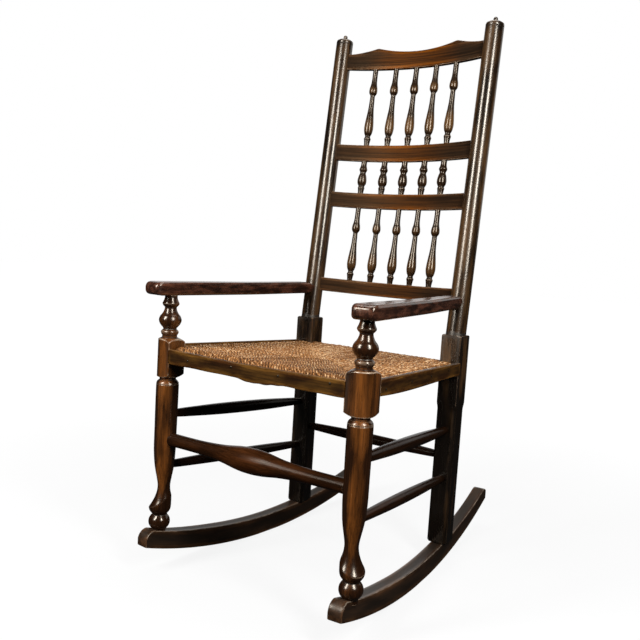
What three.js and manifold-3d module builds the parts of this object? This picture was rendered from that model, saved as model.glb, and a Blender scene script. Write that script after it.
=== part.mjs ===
// A rocking armchair of turned and sawn wood with a rush seat and a spindle back.
// Millimetres, +Z up, the sitter faces -Y. Z = 0 is the floor, X = 0 the middle of the chair.
// While it is built, Y = 0 is the axis of the front legs; at the end the chair is moved so that
// the origin lies under the middle of its bounding box.

import * as THREE from "three";
import { mergeVertices } from "three/addons/utils/BufferGeometryUtils.js";
import Module from "manifold-3d";

const wasm = await Module();
wasm.setup();

// The plan: where the legs stand
const front_leg_spread = 425;
const rear_leg_spread = 360;
const leg_depth = 408;

// Clearances and cuts shared by the joints
const joint_clearance = 0.3;
const cut_overrun = 40;
const tenon_depth = 13;

// Rockers
const rocker_radius = 1085;
const rocker_rest_behind_front_leg = 292;
const rocker_rest_flat = 64;
const rocker_width = 26;
const rocker_depth = 38;
const rocker_nose_depth = 33;
const rocker_tail_depth = 30;
const rocker_nose_taper = 200;
const rocker_tail_taper = 330;
const rocker_nose_reach = 45;
const rocker_tail_reach = 261;
const rocker_nose_round = 18;
const rocker_tail_round = 16;
const rocker_steps = 20;
const leg_pin_radius = 8;
const leg_pin_depth = 18;

// Front legs
const leg_radius = 21.1;
const leg_sides = 14;
const block_side = 41;
const block_chamfer = 7;
const foot_height = 118.5;
const ankle_height = 157;
const shaft_full_height = 239;
const foot_radius = 21;
const toe_offset = 5;
const toe_turn = THREE.MathUtils.degToRad(25);
const heel_offset = 1.5;
const block_bottom = 369.5;
const block_top = 444;
const upper_turning_radius = 21.2;

// Back posts
const post_side = 42.4;
const post_chamfer = 6;
const post_chamfer_top = 320;
const post_chamfer_run = 14;
const post_arris = 0.8;
const post_shoulder = 471.3;
const post_rake = THREE.MathUtils.degToRad(6.5);
const post_foot_radius = 20.2;
const post_top_radius = 18.9;
const post_cap_height = 20;
const finial_radius = 4.7;
const back_height = 1113.5;

// Back rails: each rise is measured up the post from its shoulder to the rail's lower edge, and
// the crest's drop down from the top of the post
const rail_thickness = 11;
const rail_bow = 25;
const rail_tenon_depth = 11;
const lower_rail_rise = 62;
const lower_rail_height = 30;
const middle_rail_rise = 254.1;
const middle_rail_height = 33.4;
const upper_rail_rise = 359.2;
const upper_rail_height = 36;
const crest_rail_drop = 80.9;
const crest_rail_height = 34;
const crest_peak_rise = 13.5;
const crest_middle_rise = 3;
const crest_peak_share = 0.59;
const crest_end_curve = 1.5;
const rail_columns = 12;

// Spindles
const spindles_per_row = 5;
const spindle_pitch = 48.9;
const spindle_radius = 10.2;
const spindle_sides = 8;
const spindle_tenon_radius = 4;
const spindle_tenon_sides = 6;
const spindle_tenon_depth = 8;

// Stretchers: a front and a rear height above the floor for each side stretcher
const stretcher_tenon_radius = 7;
const stretcher_sides = 10;
const front_stretcher_height = 253.5;
const front_stretcher_radius = 22.5;
const front_stretcher_tenon_radius = 9;
const upper_stretcher_front_height = 300;
const upper_stretcher_rear_height = 277;
const upper_stretcher_radius = 12;
const lower_stretcher_front_height = 201;
const lower_stretcher_rear_height = 177;
const lower_stretcher_radius = 10.8;
const back_stretcher_height = 221;
const back_stretcher_radius = 11.2;

// Arms
const arm_top = 549;
const arm_thickness = 25;
const arm_front_width = 44;
const arm_rear_width = 28;
const arm_front_overhang = 40;
const arm_outward_set = 13;
const arm_pin_radius = 8;
const arm_pin_depth = 14;
const arm_tenon_radius = 6;
const arm_tenon_depth = 10;
const arm_nose_length = 15;
const arm_end_length = 22;
const arm_edge_round = 5;
const arm_end_rise = 2;

// Seat: the rush is wound over four rails, and strips of wood cover its edges
const seat_front_height = 431;
const seat_rear_height = 418;
const seat_rail_radius = 10;
const seat_rail_tenon_radius = 7;
const seat_rail_sides = 8;
const seat_rail_shoulder_gap = 1.5;
const rush_over_rail = 8;
const rush_half_thickness = 18;
const rush_edge_roll = 17;
const rush_dip = 9;
const rush_hollow = 7;
const rush_clearance = 0.4;
const strip_thickness = 8;
const front_strip_height = 28.5;
const front_strip_drop = 4;
const front_strip_sag = 3;
const side_strip_height = 27;
const side_strip_belly = 5;
const rush_spans = 10;

// Outlines, as shares of the sizes that they follow. A turned outline has rows of
// radius share, height share and bulge: the bow of the stretch that ends at the row, as a share
// of its chord, outward when it is more than zero.
const foot_shares = [
  [0.619, 0.56, 0],
  [0.619, 0.646, 0],
  [0.962, 0.772, 0.145],
  [0.662, 0.892, 0.13],
  [0.676, 0.903, 0],
  [0.971, 1, 0.08],
  [1, 1.05, 0],
  [1, 1.27, 0],
  [2, 1.27, 0],
];
const ankle_shares = [
  [1.524, -0.208, 0],
  [1.295, 0, 0],
  [1.076, 0.195, 0],
  [0.876, 0.403, 0],
  [0.724, 0.61, 0],
  [0.619, 0.818, 0],
  [0.566, 1, 0],
];
const shaft_shares = [
  [0.583, 0.134, 0],
  [0.82, 0.463, 0],
  [0.924, 0.72, 0],
  [0.972, 1, 0],
];
const bead_shares = [
  [0.995, 0, 0],
  [0.995, 0.143, 0],
  [0.943, 0.193, 0],
  [0.962, 0.264, 0],
  [0.72, 0.764, 0.12],
  [0.72, 1, 0],
];
const upper_turning_shares = [
  [0.651, 0, 0],
  [0.651, 0.075, 0],
  [0.769, 0.144, 0.1],
  [0.571, 0.226, 0.08],
  [0.981, 0.427, 0.065],
  [0.656, 0.602, 0.08],
  [0.509, 0.715, -0.03],
  [0.731, 0.816, 0.04],
  [0.566, 0.941, 0],
  [0.552, 1, 0],
];
const long_spindle_shares = [
  [0.564, 0, 0],
  [0.76, 0.09, 0],
  [0.564, 0.122, 0],
  [0.995, 0.227, 0.045],
  [0.902, 0.322, 0],
  [0.603, 0.496, 0],
  [0.505, 0.651, 0],
  [0.853, 0.704, 0],
  [0.892, 0.734, 0],
  [0.711, 0.8, 0],
  [0.578, 0.872, 0],
  [0.564, 1, 0],
];
const short_spindle_shares = [
  [0.588, 0, 0],
  [0.735, 0.185, 0],
  [0.637, 0.227, 0],
  [0.995, 0.398, 0.065],
  [0.804, 0.568, 0],
  [0.637, 0.646, 0],
  [0.868, 0.72, 0],
  [0.853, 0.761, 0],
  [0.623, 0.895, 0],
  [0.623, 1, 0],
];
const cap_shares = [
  [1, 0, 0],
  [0.62, 0.36, 0.13],
  [0.15, 0.43, 0.02],
];
const finial_shares = [
  [0.6, 0, 0],
  [1, 0.5, 0.15],
  [0.5, 1, 0.15],
];
const front_stretcher_shares = [
  [0.578, 0, 0],
  [0.547, 0.174, 0],
  [0.711, 0.344, -0.012],
  [0.93, 0.43, 0],
  [1, 0.5, 0.01],
  [0.93, 0.57, 0.01],
  [0.711, 0.656, 0],
  [0.547, 0.826, -0.012],
  [0.578, 1, 0],
];
const barrel_shares = [
  [0.0, 0.0],
  [0.5, 0.14],
  [0.86, 0.3],
  [1.0, 0.5],
  [0.86, 0.7],
  [0.5, 0.86],
  [0.0, 1.0],
];

// Nose and rear end of an arm, as shares of that end's length, the width and the thickness
const arm_nose_shares = [
  [0, 0.62, 0.34],
  [0.2, 0.8, 0.68],
  [0.5, 0.93, 0.9],
  [1, 1, 1],
];
const arm_end_shares = [
  [0, 1, 0.94],
  [0.66, 0.97, 0.8],
  [1, 0.86, 0.62],
];

// Places from the rim of the rush to where its top is level, as shares of that distance
const rush_edge_shares = [0, 0.06, 0.22, 0.5, 1];

// Facets of curves that are drawn in flat steps
const board_curve_steps = 8;
const curve_steps = 2;
const corner_steps = 3;

const stained_wood = new THREE.MeshStandardMaterial({
  color: 0x3a2114,
  roughness: 0.35,
  metalness: 0,
});
const amber_wood = new THREE.MeshStandardMaterial({
  color: 0x5a3216,
  roughness: 0.38,
  metalness: 0,
});
const rush = new THREE.MeshStandardMaterial({
  color: 0xb08850,
  roughness: 0.8,
  metalness: 0,
});

const up = new THREE.Vector3(0, 0, 1);
const chair = new THREE.Group();

// A closed geometry as a solid whose faces point outwards
function solid(geometry, matrix = new THREE.Matrix4()) {
  const bare = geometry.clone().applyMatrix4(matrix);
  for (const name of Object.keys(bare.attributes)) {
    if (name !== "position") bare.deleteAttribute(name);
  }
  const merged = mergeVertices(bare);
  const corners = merged.attributes.position.array;
  const faces = new Uint32Array(merged.index.array);
  const a = new THREE.Vector3();
  const b = new THREE.Vector3();
  const c = new THREE.Vector3();
  let volume = 0;
  for (let i = 0; i < faces.length; i += 3) {
    a.fromArray(corners, faces[i] * 3);
    b.fromArray(corners, faces[i + 1] * 3);
    c.fromArray(corners, faces[i + 2] * 3);
    volume += a.dot(b.cross(c));
  }
  if (volume < 0) faces.reverse();
  return new wasm.Manifold(
    new wasm.Mesh({ numProp: 3, vertProperties: corners, triVerts: faces }),
  );
}

// A solid as a named mesh of the chair
function add(name, body, material) {
  const made = body.getMesh();
  const geometry = new THREE.BufferGeometry();
  geometry.setAttribute("position", new THREE.BufferAttribute(made.vertProperties, 3));
  geometry.setIndex(new THREE.BufferAttribute(made.triVerts, 1));
  const mesh = new THREE.Mesh(geometry, material);
  mesh.name = name;
  chair.add(mesh);
}

// Points of a turned outline between two heights, with bowed stretches drawn as curves
function outline(shares, radius, low, high, start) {
  const points = [];
  let from = start;
  for (const [radius_share, height_share, bulge] of shares) {
    const to = new THREE.Vector2(radius * radius_share, low + (high - low) * height_share);
    if (bulge !== 0 && from) {
      const chord = to.clone().sub(from);
      const outward = new THREE.Vector2(chord.y, -chord.x).multiplyScalar(2 * bulge);
      const middle = from.clone().add(to).multiplyScalar(1 / 2).add(outward);
      const bow = new THREE.QuadraticBezierCurve(from, middle, to);
      points.push(...bow.getPoints(curve_steps).slice(1));
    } else {
      points.push(to);
    }
    from = to;
  }
  return points;
}

// Turned on a lathe: the outline revolved about Z, closed on the axis at both ends
function turned(points, sides) {
  const closed = [
    new THREE.Vector2(0, points[0].y),
    ...points,
    new THREE.Vector2(0, points.at(-1).y),
  ];
  return new THREE.LatheGeometry(closed, sides).rotateX(Math.PI / 2);
}

// A plain rod about Z between two heights
function rod(radius, low, high, sides) {
  return turned([new THREE.Vector2(radius, low), new THREE.Vector2(radius, high)], sides);
}

// Rings of as many points each, joined from one to the next and closed at both ends
function loft(rings) {
  const count = rings[0].length;
  const corners = rings.flat().flatMap((p) => [p.x, p.y, p.z]);
  const faces = [];
  for (let r = 0; r + 1 < rings.length; r++) {
    for (let i = 0; i < count; i++) {
      const a = r * count + i;
      const b = r * count + ((i + 1) % count);
      faces.push(a, b, a + count, b, b + count, a + count);
    }
  }
  const last = (rings.length - 1) * count;
  for (let i = 1; i + 1 < count; i++) {
    faces.push(0, i + 1, i, last, last + i, last + i + 1);
  }
  const geometry = new THREE.BufferGeometry();
  geometry.setAttribute("position", new THREE.Float32BufferAttribute(corners, 3));
  geometry.setIndex(faces);
  return geometry;
}

// A flat outline given a thickness, centred on its own plane
function board(shape, thickness) {
  const steps = { depth: thickness, bevelEnabled: false, curveSegments: board_curve_steps };
  return new THREE.ExtrudeGeometry(shape, steps).translate(0, 0, -thickness / 2);
}

// Where a board stands upright with its outline's x along a line in plan and its y up
function upright(from, to) {
  const along = to.clone().sub(from).normalize();
  const across = along.clone().cross(up);
  return new THREE.Matrix4().makeBasis(along, up, across).setPosition(from);
}

// Where a rod that is built about Z lies when it runs from one point towards another
function laid(from, to) {
  const turn = new THREE.Quaternion().setFromUnitVectors(up, to.clone().sub(from).normalize());
  return new THREE.Matrix4().compose(from, turn, new THREE.Vector3(1, 1, 1));
}

const at = (x, y, z) => new THREE.Vector3(x, y, z);
const side_names = { left: 1, right: -1 };
const front_foot = (side) => at((side * front_leg_spread) / 2, 0, 0);
const rear_foot = (side) => at((side * rear_leg_spread) / 2, leg_depth, 0);
const leg_line_length = front_foot(1).distanceTo(rear_foot(1));

// Rockers: an arc that meets the floor in a short worn flat, thinner towards both ends, with a
// rounded nose in front of the foot and a long tail behind the rear leg
const rest = rocker_rest_behind_front_leg;
const arc_centre_height = Math.sqrt(rocker_radius ** 2 - (rocker_rest_flat / 2) ** 2);
const nose_end = -rocker_nose_reach;
const tail_end = leg_line_length + rocker_tail_reach;

function arc_height(along, radius) {
  return arc_centre_height - Math.sqrt(radius ** 2 - (along - rest) ** 2);
}

function rocker_depth_at(along) {
  const front = THREE.MathUtils.smoothstep(along, nose_end, nose_end + rocker_nose_taper);
  const tail = THREE.MathUtils.smoothstep(along, tail_end - rocker_tail_taper, tail_end);
  const from_nose = THREE.MathUtils.lerp(rocker_nose_depth, rocker_depth, front);
  return THREE.MathUtils.lerp(from_nose, rocker_tail_depth, tail);
}

function rocker_top(along) {
  return arc_height(along, rocker_radius - rocker_depth_at(along));
}

function rocker_outline() {
  const shape = new THREE.Shape();
  const half_flat = rocker_rest_flat / 2;
  shape.moveTo(nose_end, arc_height(nose_end, rocker_radius));
  for (let i = 1; i < rocker_steps / 2; i++) {
    const along = THREE.MathUtils.lerp(nose_end, rest - half_flat, (2 * i) / rocker_steps);
    shape.lineTo(along, arc_height(along, rocker_radius));
  }
  shape.lineTo(rest - half_flat, 0);
  shape.lineTo(rest + half_flat, 0);
  for (let i = 1; i <= rocker_steps / 2; i++) {
    const along = THREE.MathUtils.lerp(rest + half_flat, tail_end, (2 * i) / rocker_steps);
    shape.lineTo(along, arc_height(along, rocker_radius));
  }
  const slope = (tail_end - rest) / rocker_radius;
  const tail_top = tail_end - rocker_tail_depth * slope;
  const tail_round_start = tail_top - rocker_tail_round;
  const tail_shoulder = rocker_top(tail_top) - rocker_tail_round;
  shape.lineTo(tail_top + rocker_tail_round * slope, tail_shoulder);
  shape.quadraticCurveTo(tail_top, rocker_top(tail_top), tail_round_start, rocker_top(tail_round_start));
  const nose_round_end = nose_end + rocker_nose_round;
  for (let i = 1; i < rocker_steps; i++) {
    const along = THREE.MathUtils.lerp(tail_round_start, nose_round_end, i / rocker_steps);
    shape.lineTo(along, rocker_top(along));
  }
  const nose_top = rocker_top(nose_round_end);
  shape.lineTo(nose_round_end, nose_top);
  shape.quadraticCurveTo(nose_end, nose_top, nose_end, nose_top - rocker_nose_round);
  return shape;
}

// Everything under the top of a rocker, which trims the foot of a leg to sit on it
function rocker_seat(side) {
  const shape = new THREE.Shape();
  shape.moveTo(nose_end, -cut_overrun);
  shape.lineTo(tail_end, -cut_overrun);
  for (let i = 0; i <= rocker_steps; i++) {
    const along = THREE.MathUtils.lerp(tail_end, nose_end, i / rocker_steps);
    shape.lineTo(along, rocker_top(along) + joint_clearance);
  }
  const wide = rocker_width + cut_overrun;
  return solid(board(shape, wide), upright(front_foot(side), rear_foot(side)));
}

// The pin under a leg and the socket that takes it
function leg_pin(foot, slack = 0) {
  const along = foot.distanceTo(front_foot(Math.sign(foot.x)));
  const low = rocker_top(along) - leg_pin_depth - slack;
  const high = rocker_top(along) + leg_pin_depth / 2;
  const pin = rod(leg_pin_radius + slack, low, high, leg_sides);
  return solid(pin, new THREE.Matrix4().makeTranslation(foot.x, foot.y, 0));
}

function make_rocker(name, side) {
  let body = solid(board(rocker_outline(), rocker_width), upright(front_foot(side), rear_foot(side)));
  body = body.subtract(leg_pin(front_foot(side), joint_clearance));
  body = body.subtract(leg_pin(rear_foot(side), joint_clearance));
  add("rocker_" + name, body, stained_wood);
}

// Mortises: each joint is listed once as a tenon and cuts its socket with the clearance added
function tenon(from, to, radius, sides, slack = 0) {
  const reach = to.clone().sub(from).normalize().multiplyScalar(slack);
  const end = to.clone().add(reach);
  return solid(rod(radius + slack, 0, from.distanceTo(end), sides), laid(from, end));
}

// Front legs: turned, with a square block at the seat whose outer front corner stays round
const arm_underside = arm_top - arm_thickness;

function front_leg_outline() {
  const points = [new THREE.Vector2(ankle_shares[0][0] * foot_radius, 0)];
  const stretches = [
    [ankle_shares, foot_radius, foot_height, ankle_height],
    [shaft_shares, leg_radius, ankle_height, shaft_full_height],
    [bead_shares, leg_radius, block_bottom - 2 * block_chamfer, block_bottom],
    [upper_turning_shares, upper_turning_radius, block_top, arm_underside - joint_clearance],
  ];
  for (const [shares, radius, low, high] of stretches) {
    points.push(...outline(shares, radius, low, high, points.at(-1)));
  }
  return points;
}

// The radius of the turned shaft at a height
function leg_radius_at(height) {
  const points = front_leg_outline();
  const above = points.findIndex((point) => point.y > height);
  const [low, high] = [points[above - 1], points[above]];
  return THREE.MathUtils.mapLinear(height, low.y, high.y, low.x, high.x);
}

// Stretchers: turned rods whose tapered ends are tenoned into the legs
function on_leg_line(side, share, height) {
  return front_foot(side).lerp(rear_foot(side), share).setZ(height);
}

const stretchers = [
  {
    name: "front_stretcher",
    from: front_foot(-1).setZ(front_stretcher_height),
    to: front_foot(1).setZ(front_stretcher_height),
    seats: [leg_radius_at(front_stretcher_height), leg_radius_at(front_stretcher_height)],
    radius: front_stretcher_radius,
    tenon_radius: front_stretcher_tenon_radius,
    coped: true,
  },
  {
    name: "back_stretcher",
    from: rear_foot(-1).setZ(back_stretcher_height),
    to: rear_foot(1).setZ(back_stretcher_height),
    seats: [post_side / 2, post_side / 2],
    radius: back_stretcher_radius,
    tenon_radius: stretcher_tenon_radius,
  },
];
for (const [name, side] of Object.entries(side_names)) {
  stretchers.push({
    name: "upper_side_stretcher_" + name,
    from: on_leg_line(side, 0, upper_stretcher_front_height),
    to: on_leg_line(side, 1, upper_stretcher_rear_height),
    seats: [leg_radius_at(upper_stretcher_front_height), post_side / 2],
    radius: upper_stretcher_radius,
    tenon_radius: stretcher_tenon_radius,
  });
  stretchers.push({
    name: "lower_side_stretcher_" + name,
    from: on_leg_line(side, 0, lower_stretcher_front_height),
    to: on_leg_line(side, 1, lower_stretcher_rear_height),
    seats: [leg_radius_at(lower_stretcher_front_height), post_side / 2],
    radius: lower_stretcher_radius,
    tenon_radius: stretcher_tenon_radius,
  });
}

// The two ends of a rod between legs: the place where it meets the leg, and the way in
function rod_ends({ from, to, seats }) {
  const along = to.clone().sub(from).normalize();
  return [
    { shoulder: from.clone().addScaledVector(along, seats[0]), inward: along.clone().negate() },
    { shoulder: to.clone().addScaledVector(along, -seats[1]), inward: along },
  ];
}

function rod_tenon(end, radius, sides, slack = 0) {
  const start = end.shoulder.clone().addScaledVector(end.inward, -tenon_depth);
  const tip = end.shoulder.clone().addScaledVector(end.inward, tenon_depth);
  return tenon(start, tip, radius, sides, slack);
}

// The sides and the back have plain barrels, which swell from the thickness of their tenons
function barrel(stretcher, length) {
  const swell = stretcher.radius - stretcher.tenon_radius;
  return barrel_shares.map(
    ([share, height_share]) =>
      new THREE.Vector2(stretcher.tenon_radius + swell * share, length * height_share),
  );
}

function barrel_stretcher(stretcher) {
  const [first, second] = rod_ends(stretcher).map((end) => end.shoulder);
  const points = barrel(stretcher, first.distanceTo(second));
  return solid(turned(points, stretcher_sides), laid(first, second));
}

// The front one swells in its middle, and its thick ends are hollowed to fit the round legs
function coped_stretcher(stretcher) {
  const [first, second] = rod_ends(stretcher).map((end) =>
    end.shoulder.clone().addScaledVector(end.inward, tenon_depth / 2),
  );
  const points = outline(front_stretcher_shares, stretcher.radius, 0, first.distanceTo(second));
  let body = solid(turned(points, stretcher_sides), laid(first, second));
  const leg = rod(stretcher.seats[0] + joint_clearance, 0, block_bottom, leg_sides);
  for (const foot of [stretcher.from, stretcher.to]) {
    body = body.subtract(solid(leg, new THREE.Matrix4().makeTranslation(foot.x, foot.y, 0)));
  }
  return body;
}

function make_stretcher(stretcher) {
  let body = stretcher.coped ? coped_stretcher(stretcher) : barrel_stretcher(stretcher);
  for (const end of rod_ends(stretcher)) {
    body = body.add(rod_tenon(end, stretcher.tenon_radius, stretcher_sides));
  }
  add(stretcher.name, body, stained_wood);
}

// Seat rails: plain rods inside the rush, tenoned into the leg blocks
const seat_fall = (seat_front_height - seat_rear_height) / leg_depth;
const seat_top_at = (y) => seat_front_height - seat_fall * y;
const rail_height_at = (y) => seat_top_at(y) - rush_over_rail - seat_rail_radius;
const seat_rails = [
  {
    name: "seat_rail_front",
    from: front_foot(-1).setZ(rail_height_at(0)),
    to: front_foot(1).setZ(rail_height_at(0)),
    seats: [block_side / 2, block_side / 2],
  },
  {
    name: "seat_rail_back",
    from: rear_foot(-1).setZ(rail_height_at(leg_depth)),
    to: rear_foot(1).setZ(rail_height_at(leg_depth)),
    seats: [post_side / 2, post_side / 2],
  },
];
for (const [name, side] of Object.entries(side_names)) {
  seat_rails.push({
    name: "seat_rail_" + name,
    from: on_leg_line(side, 0, rail_height_at(0)),
    to: on_leg_line(side, 1, rail_height_at(leg_depth)),
    seats: [block_side / 2, post_side / 2],
  });
}

function make_seat_rail(rail) {
  const ends = rod_ends(rail);
  const [first, second] = ends.map((end) =>
    end.shoulder.clone().addScaledVector(end.inward, -seat_rail_shoulder_gap),
  );
  let body = tenon(first, second, seat_rail_radius, seat_rail_sides);
  for (const end of ends) {
    body = body.add(rod_tenon(end, seat_rail_tenon_radius, seat_rail_sides));
  }
  add(rail.name, body, stained_wood);
}

// Cuts the socket of every rod that ends inside the given leg
function cut_sockets(body, leg) {
  const all = [
    ...stretchers.map((one) => [one, one.tenon_radius, stretcher_sides]),
    ...seat_rails.map((one) => [one, seat_rail_tenon_radius, seat_rail_sides]),
  ];
  for (const [one, radius, sides] of all) {
    for (const end of rod_ends(one)) {
      const near = end.shoulder.clone().setZ(0).distanceTo(leg);
      if (near < post_side) body = body.subtract(rod_tenon(end, radius, sides, joint_clearance));
    }
  }
  return body;
}

// The foot is turned about two centres. The leg's own turning flares below the ankle and runs
// off its axis towards the heel. A second turning, off its axis towards the toe, cuts the ball
// and the rim of the foot out of that flare, and leaves the slanting ridge of the toe.
function heel_shift(height) {
  return -heel_offset * (1 - THREE.MathUtils.smoothstep(height, ankle_height, shaft_full_height));
}

function toe_outline() {
  const points = outline(foot_shares, foot_radius, 0, foot_height);
  points.push(new THREE.Vector2(points.at(-1).x, arm_underside));
  return points;
}

// A turning whose slices are moved towards the toe, or with less than zero towards the heel
function off_centre(points, side, shift_at) {
  const geometry = turned(points, leg_sides);
  const place = geometry.attributes.position;
  for (let i = 0; i < place.count; i++) {
    const shift = shift_at(place.getZ(i));
    place.setX(i, place.getX(i) + side * shift * Math.cos(toe_turn));
    place.setY(i, place.getY(i) - shift * Math.sin(toe_turn));
  }
  return geometry;
}

function block_section(side) {
  const half = block_side / 2;
  const shape = new THREE.Shape();
  shape.moveTo(0, -half);
  shape.lineTo(-half, -half);
  shape.lineTo(-half, half);
  shape.lineTo(half, half);
  shape.lineTo(half, 0);
  shape.absarc(0, 0, half, 0, -Math.PI / 2, true);
  const steps = { depth: block_top - block_bottom, bevelEnabled: false, curveSegments: leg_sides / 2 };
  const prism = new THREE.ExtrudeGeometry(shape, steps);
  return solid(prism, new THREE.Matrix4().makeScale(side, 1, 1).setPosition(0, 0, block_bottom));
}

// The block's corners are cut back by the turning above and below it
function block_envelope() {
  const corner = block_side / Math.SQRT2;
  const neck = bead_shares.at(-1)[0] * leg_radius;
  const points = [
    new THREE.Vector2(neck, block_bottom),
    new THREE.Vector2(corner, block_bottom + block_chamfer),
    new THREE.Vector2(corner, block_top - block_chamfer),
    new THREE.Vector2(upper_turning_shares[0][0] * upper_turning_radius, block_top),
  ];
  return solid(turned(points, 2 * leg_sides));
}

function make_front_leg(name, side) {
  const foot = front_foot(side);
  const moved = new THREE.Matrix4().makeTranslation(foot.x, foot.y, 0);
  let body = solid(off_centre(front_leg_outline(), side, heel_shift), moved);
  body = body.intersect(solid(off_centre(toe_outline(), side, () => toe_offset), moved));
  body = body.subtract(rocker_seat(side));
  const block = block_section(side).intersect(block_envelope());
  body = body.add(block.translate(foot.x, foot.y, 0));
  body = body.add(leg_pin(foot));
  const pin_foot = foot.clone().setZ(arm_underside - arm_pin_depth);
  const pin_tip = foot.clone().setZ(arm_underside + arm_pin_depth);
  body = body.add(tenon(pin_foot, pin_tip, arm_pin_radius, leg_sides));
  add("front_leg_" + name, cut_sockets(body, foot), stained_wood);
}

// Back posts: square and chamfered below the seat, a plain block at the seat, and above its
// shoulder a round raked post with a domed cap and a button
const back_frame = new THREE.Matrix4()
  .makeTranslation(0, leg_depth, post_shoulder)
  .multiply(new THREE.Matrix4().makeRotationX(-post_rake));
const post_length = (back_height - post_shoulder) / Math.cos(post_rake);
const in_back = (x, behind, rise) => at(x, behind, rise).applyMatrix4(back_frame);

function chamfered_square(half, chamfer, height) {
  const inset = half - chamfer;
  const corners = [
    [half, -inset],
    [half, inset],
    [inset, half],
    [-inset, half],
    [-half, inset],
    [-half, -inset],
    [-inset, -half],
    [inset, -half],
  ];
  return corners.map(([x, y]) => at(x, y, height));
}

function make_back_post(name, side) {
  const half = post_side / 2;
  const foot = rear_foot(side);
  const moved = new THREE.Matrix4().makeTranslation(foot.x, foot.y, 0);
  const square = loft([
    chamfered_square(half, post_chamfer, 0),
    chamfered_square(half, post_chamfer, post_chamfer_top),
    chamfered_square(half, post_arris, post_chamfer_top + post_chamfer_run),
    chamfered_square(half, post_arris, post_shoulder - post_arris),
    chamfered_square(half - post_arris, post_arris, post_shoulder),
  ]);
  let body = solid(square, moved).subtract(rocker_seat(side));
  const cap_base = post_length - post_cap_height;
  const points = [
    new THREE.Vector2(post_foot_radius, -half),
    new THREE.Vector2(post_foot_radius, 0),
    ...outline(cap_shares, post_top_radius, cap_base, post_length),
    ...outline(finial_shares, finial_radius, post_length - 2 * finial_radius, post_length),
  ];
  const raked = back_frame.clone().setPosition(foot.x, leg_depth, post_shoulder);
  body = body.add(solid(turned(points, leg_sides), raked));
  body = body.add(leg_pin(foot));
  body = cut_sockets(body, foot);
  for (const rail of back_rails) {
    body = body.subtract(rail_body(rail, joint_clearance));
  }
  body = body.subtract(arm_tenon(side, joint_clearance));
  add("back_post_" + name, body, stained_wood);
}

// Back rails: boards bowed away from the sitter, let into the posts without shoulders
const rail_half_span = rear_leg_spread / 2 - post_top_radius;
const rail_reach = rail_half_span + rail_tenon_depth;
const bow_at = (x) => rail_bow * (1 - (x / rail_half_span) ** 2);

const straight_edge = () => 0;

// The crest's top, above its ends: it climbs to a soft peak on each side and dips in the middle
function crest_edge(x) {
  const share = Math.min(Math.abs(x) / rail_half_span, 1);
  if (share > crest_peak_share) {
    const out = (1 - share) / (1 - crest_peak_share);
    return crest_peak_rise * out ** crest_end_curve;
  }
  const climb = (share / crest_peak_share) ** 2;
  return THREE.MathUtils.lerp(crest_middle_rise, crest_peak_rise, climb);
}

const back_rails = [
  { name: "lower_cross_rail", rise: lower_rail_rise, height: lower_rail_height, edge: straight_edge },
  { name: "middle_cross_rail", rise: middle_rail_rise, height: middle_rail_height, edge: straight_edge },
  { name: "upper_cross_rail", rise: upper_rail_rise, height: upper_rail_height, edge: straight_edge },
  { name: "crest_rail", rise: post_length - crest_rail_drop, height: crest_rail_height, edge: crest_edge },
];

function rail_body(rail, slack = 0) {
  const rings = [];
  const half = rail_thickness / 2 + slack;
  for (let i = 0; i <= rail_columns; i++) {
    const x = THREE.MathUtils.lerp(-1, 1, i / rail_columns) * (rail_reach + slack);
    const low = rail.rise - slack;
    const high = rail.rise + rail.height + rail.edge(x) + slack;
    rings.push([
      in_back(x, bow_at(x) - half, low),
      in_back(x, bow_at(x) + half, low),
      in_back(x, bow_at(x) + half, high),
      in_back(x, bow_at(x) - half, high),
    ]);
  }
  return solid(loft(rings));
}

// Spindles: five between each pair of rails, with a round tenon in both
const spindle_rows = [
  { name: "lower_spindle_", under: back_rails[0], over: back_rails[1], shares: long_spindle_shares },
  { name: "middle_spindle_", under: back_rails[1], over: back_rails[2], shares: short_spindle_shares },
  { name: "upper_spindle_", under: back_rails[2], over: back_rails[3], shares: long_spindle_shares },
];
const spindle_places = Array.from(
  { length: spindles_per_row },
  (_, i) => (i - (spindles_per_row - 1) / 2) * spindle_pitch,
);

function spindle_tenons(row, x, slack = 0) {
  const low = row.under.rise + row.under.height;
  const high = row.over.rise;
  const ends = [
    [low + spindle_tenon_depth, low - spindle_tenon_depth],
    [high - spindle_tenon_depth, high + spindle_tenon_depth],
  ];
  return ends.map(([from, to]) =>
    tenon(
      in_back(x, bow_at(x), from),
      in_back(x, bow_at(x), to),
      spindle_tenon_radius,
      spindle_tenon_sides,
      slack,
    ),
  );
}

function make_spindle(row, x, number) {
  const low = row.under.rise + row.under.height + joint_clearance;
  const high = row.over.rise - joint_clearance;
  const points = outline(row.shares, spindle_radius, 0, high - low);
  let body = solid(
    turned(points, spindle_sides),
    laid(in_back(x, bow_at(x), low), in_back(x, bow_at(x), high)),
  );
  for (const pin of spindle_tenons(row, x)) body = body.add(pin);
  add(row.name + number, body, amber_wood);
}

function make_back_rail(rail) {
  let body = rail_body(rail);
  for (const row of spindle_rows) {
    if (row.under !== rail && row.over !== rail) continue;
    const pick = row.under === rail ? 0 : 1;
    for (const x of spindle_places) {
      body = body.subtract(spindle_tenons(row, x, joint_clearance)[pick]);
    }
  }
  add(rail.name, body, amber_wood);
}

// Arms: flat boards pinned on the front legs and tenoned into the posts, with a bull nose
const arm_middle = arm_top - arm_thickness / 2;
const post_back_at_arm = (arm_middle - post_shoulder) * Math.tan(post_rake);
const arm_front = (side) =>
  at(side * (front_leg_spread / 2 + arm_outward_set), -arm_front_overhang, arm_middle);
const arm_rear = (side) =>
  at((side * rear_leg_spread) / 2, leg_depth + post_back_at_arm - post_foot_radius, arm_middle);

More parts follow.
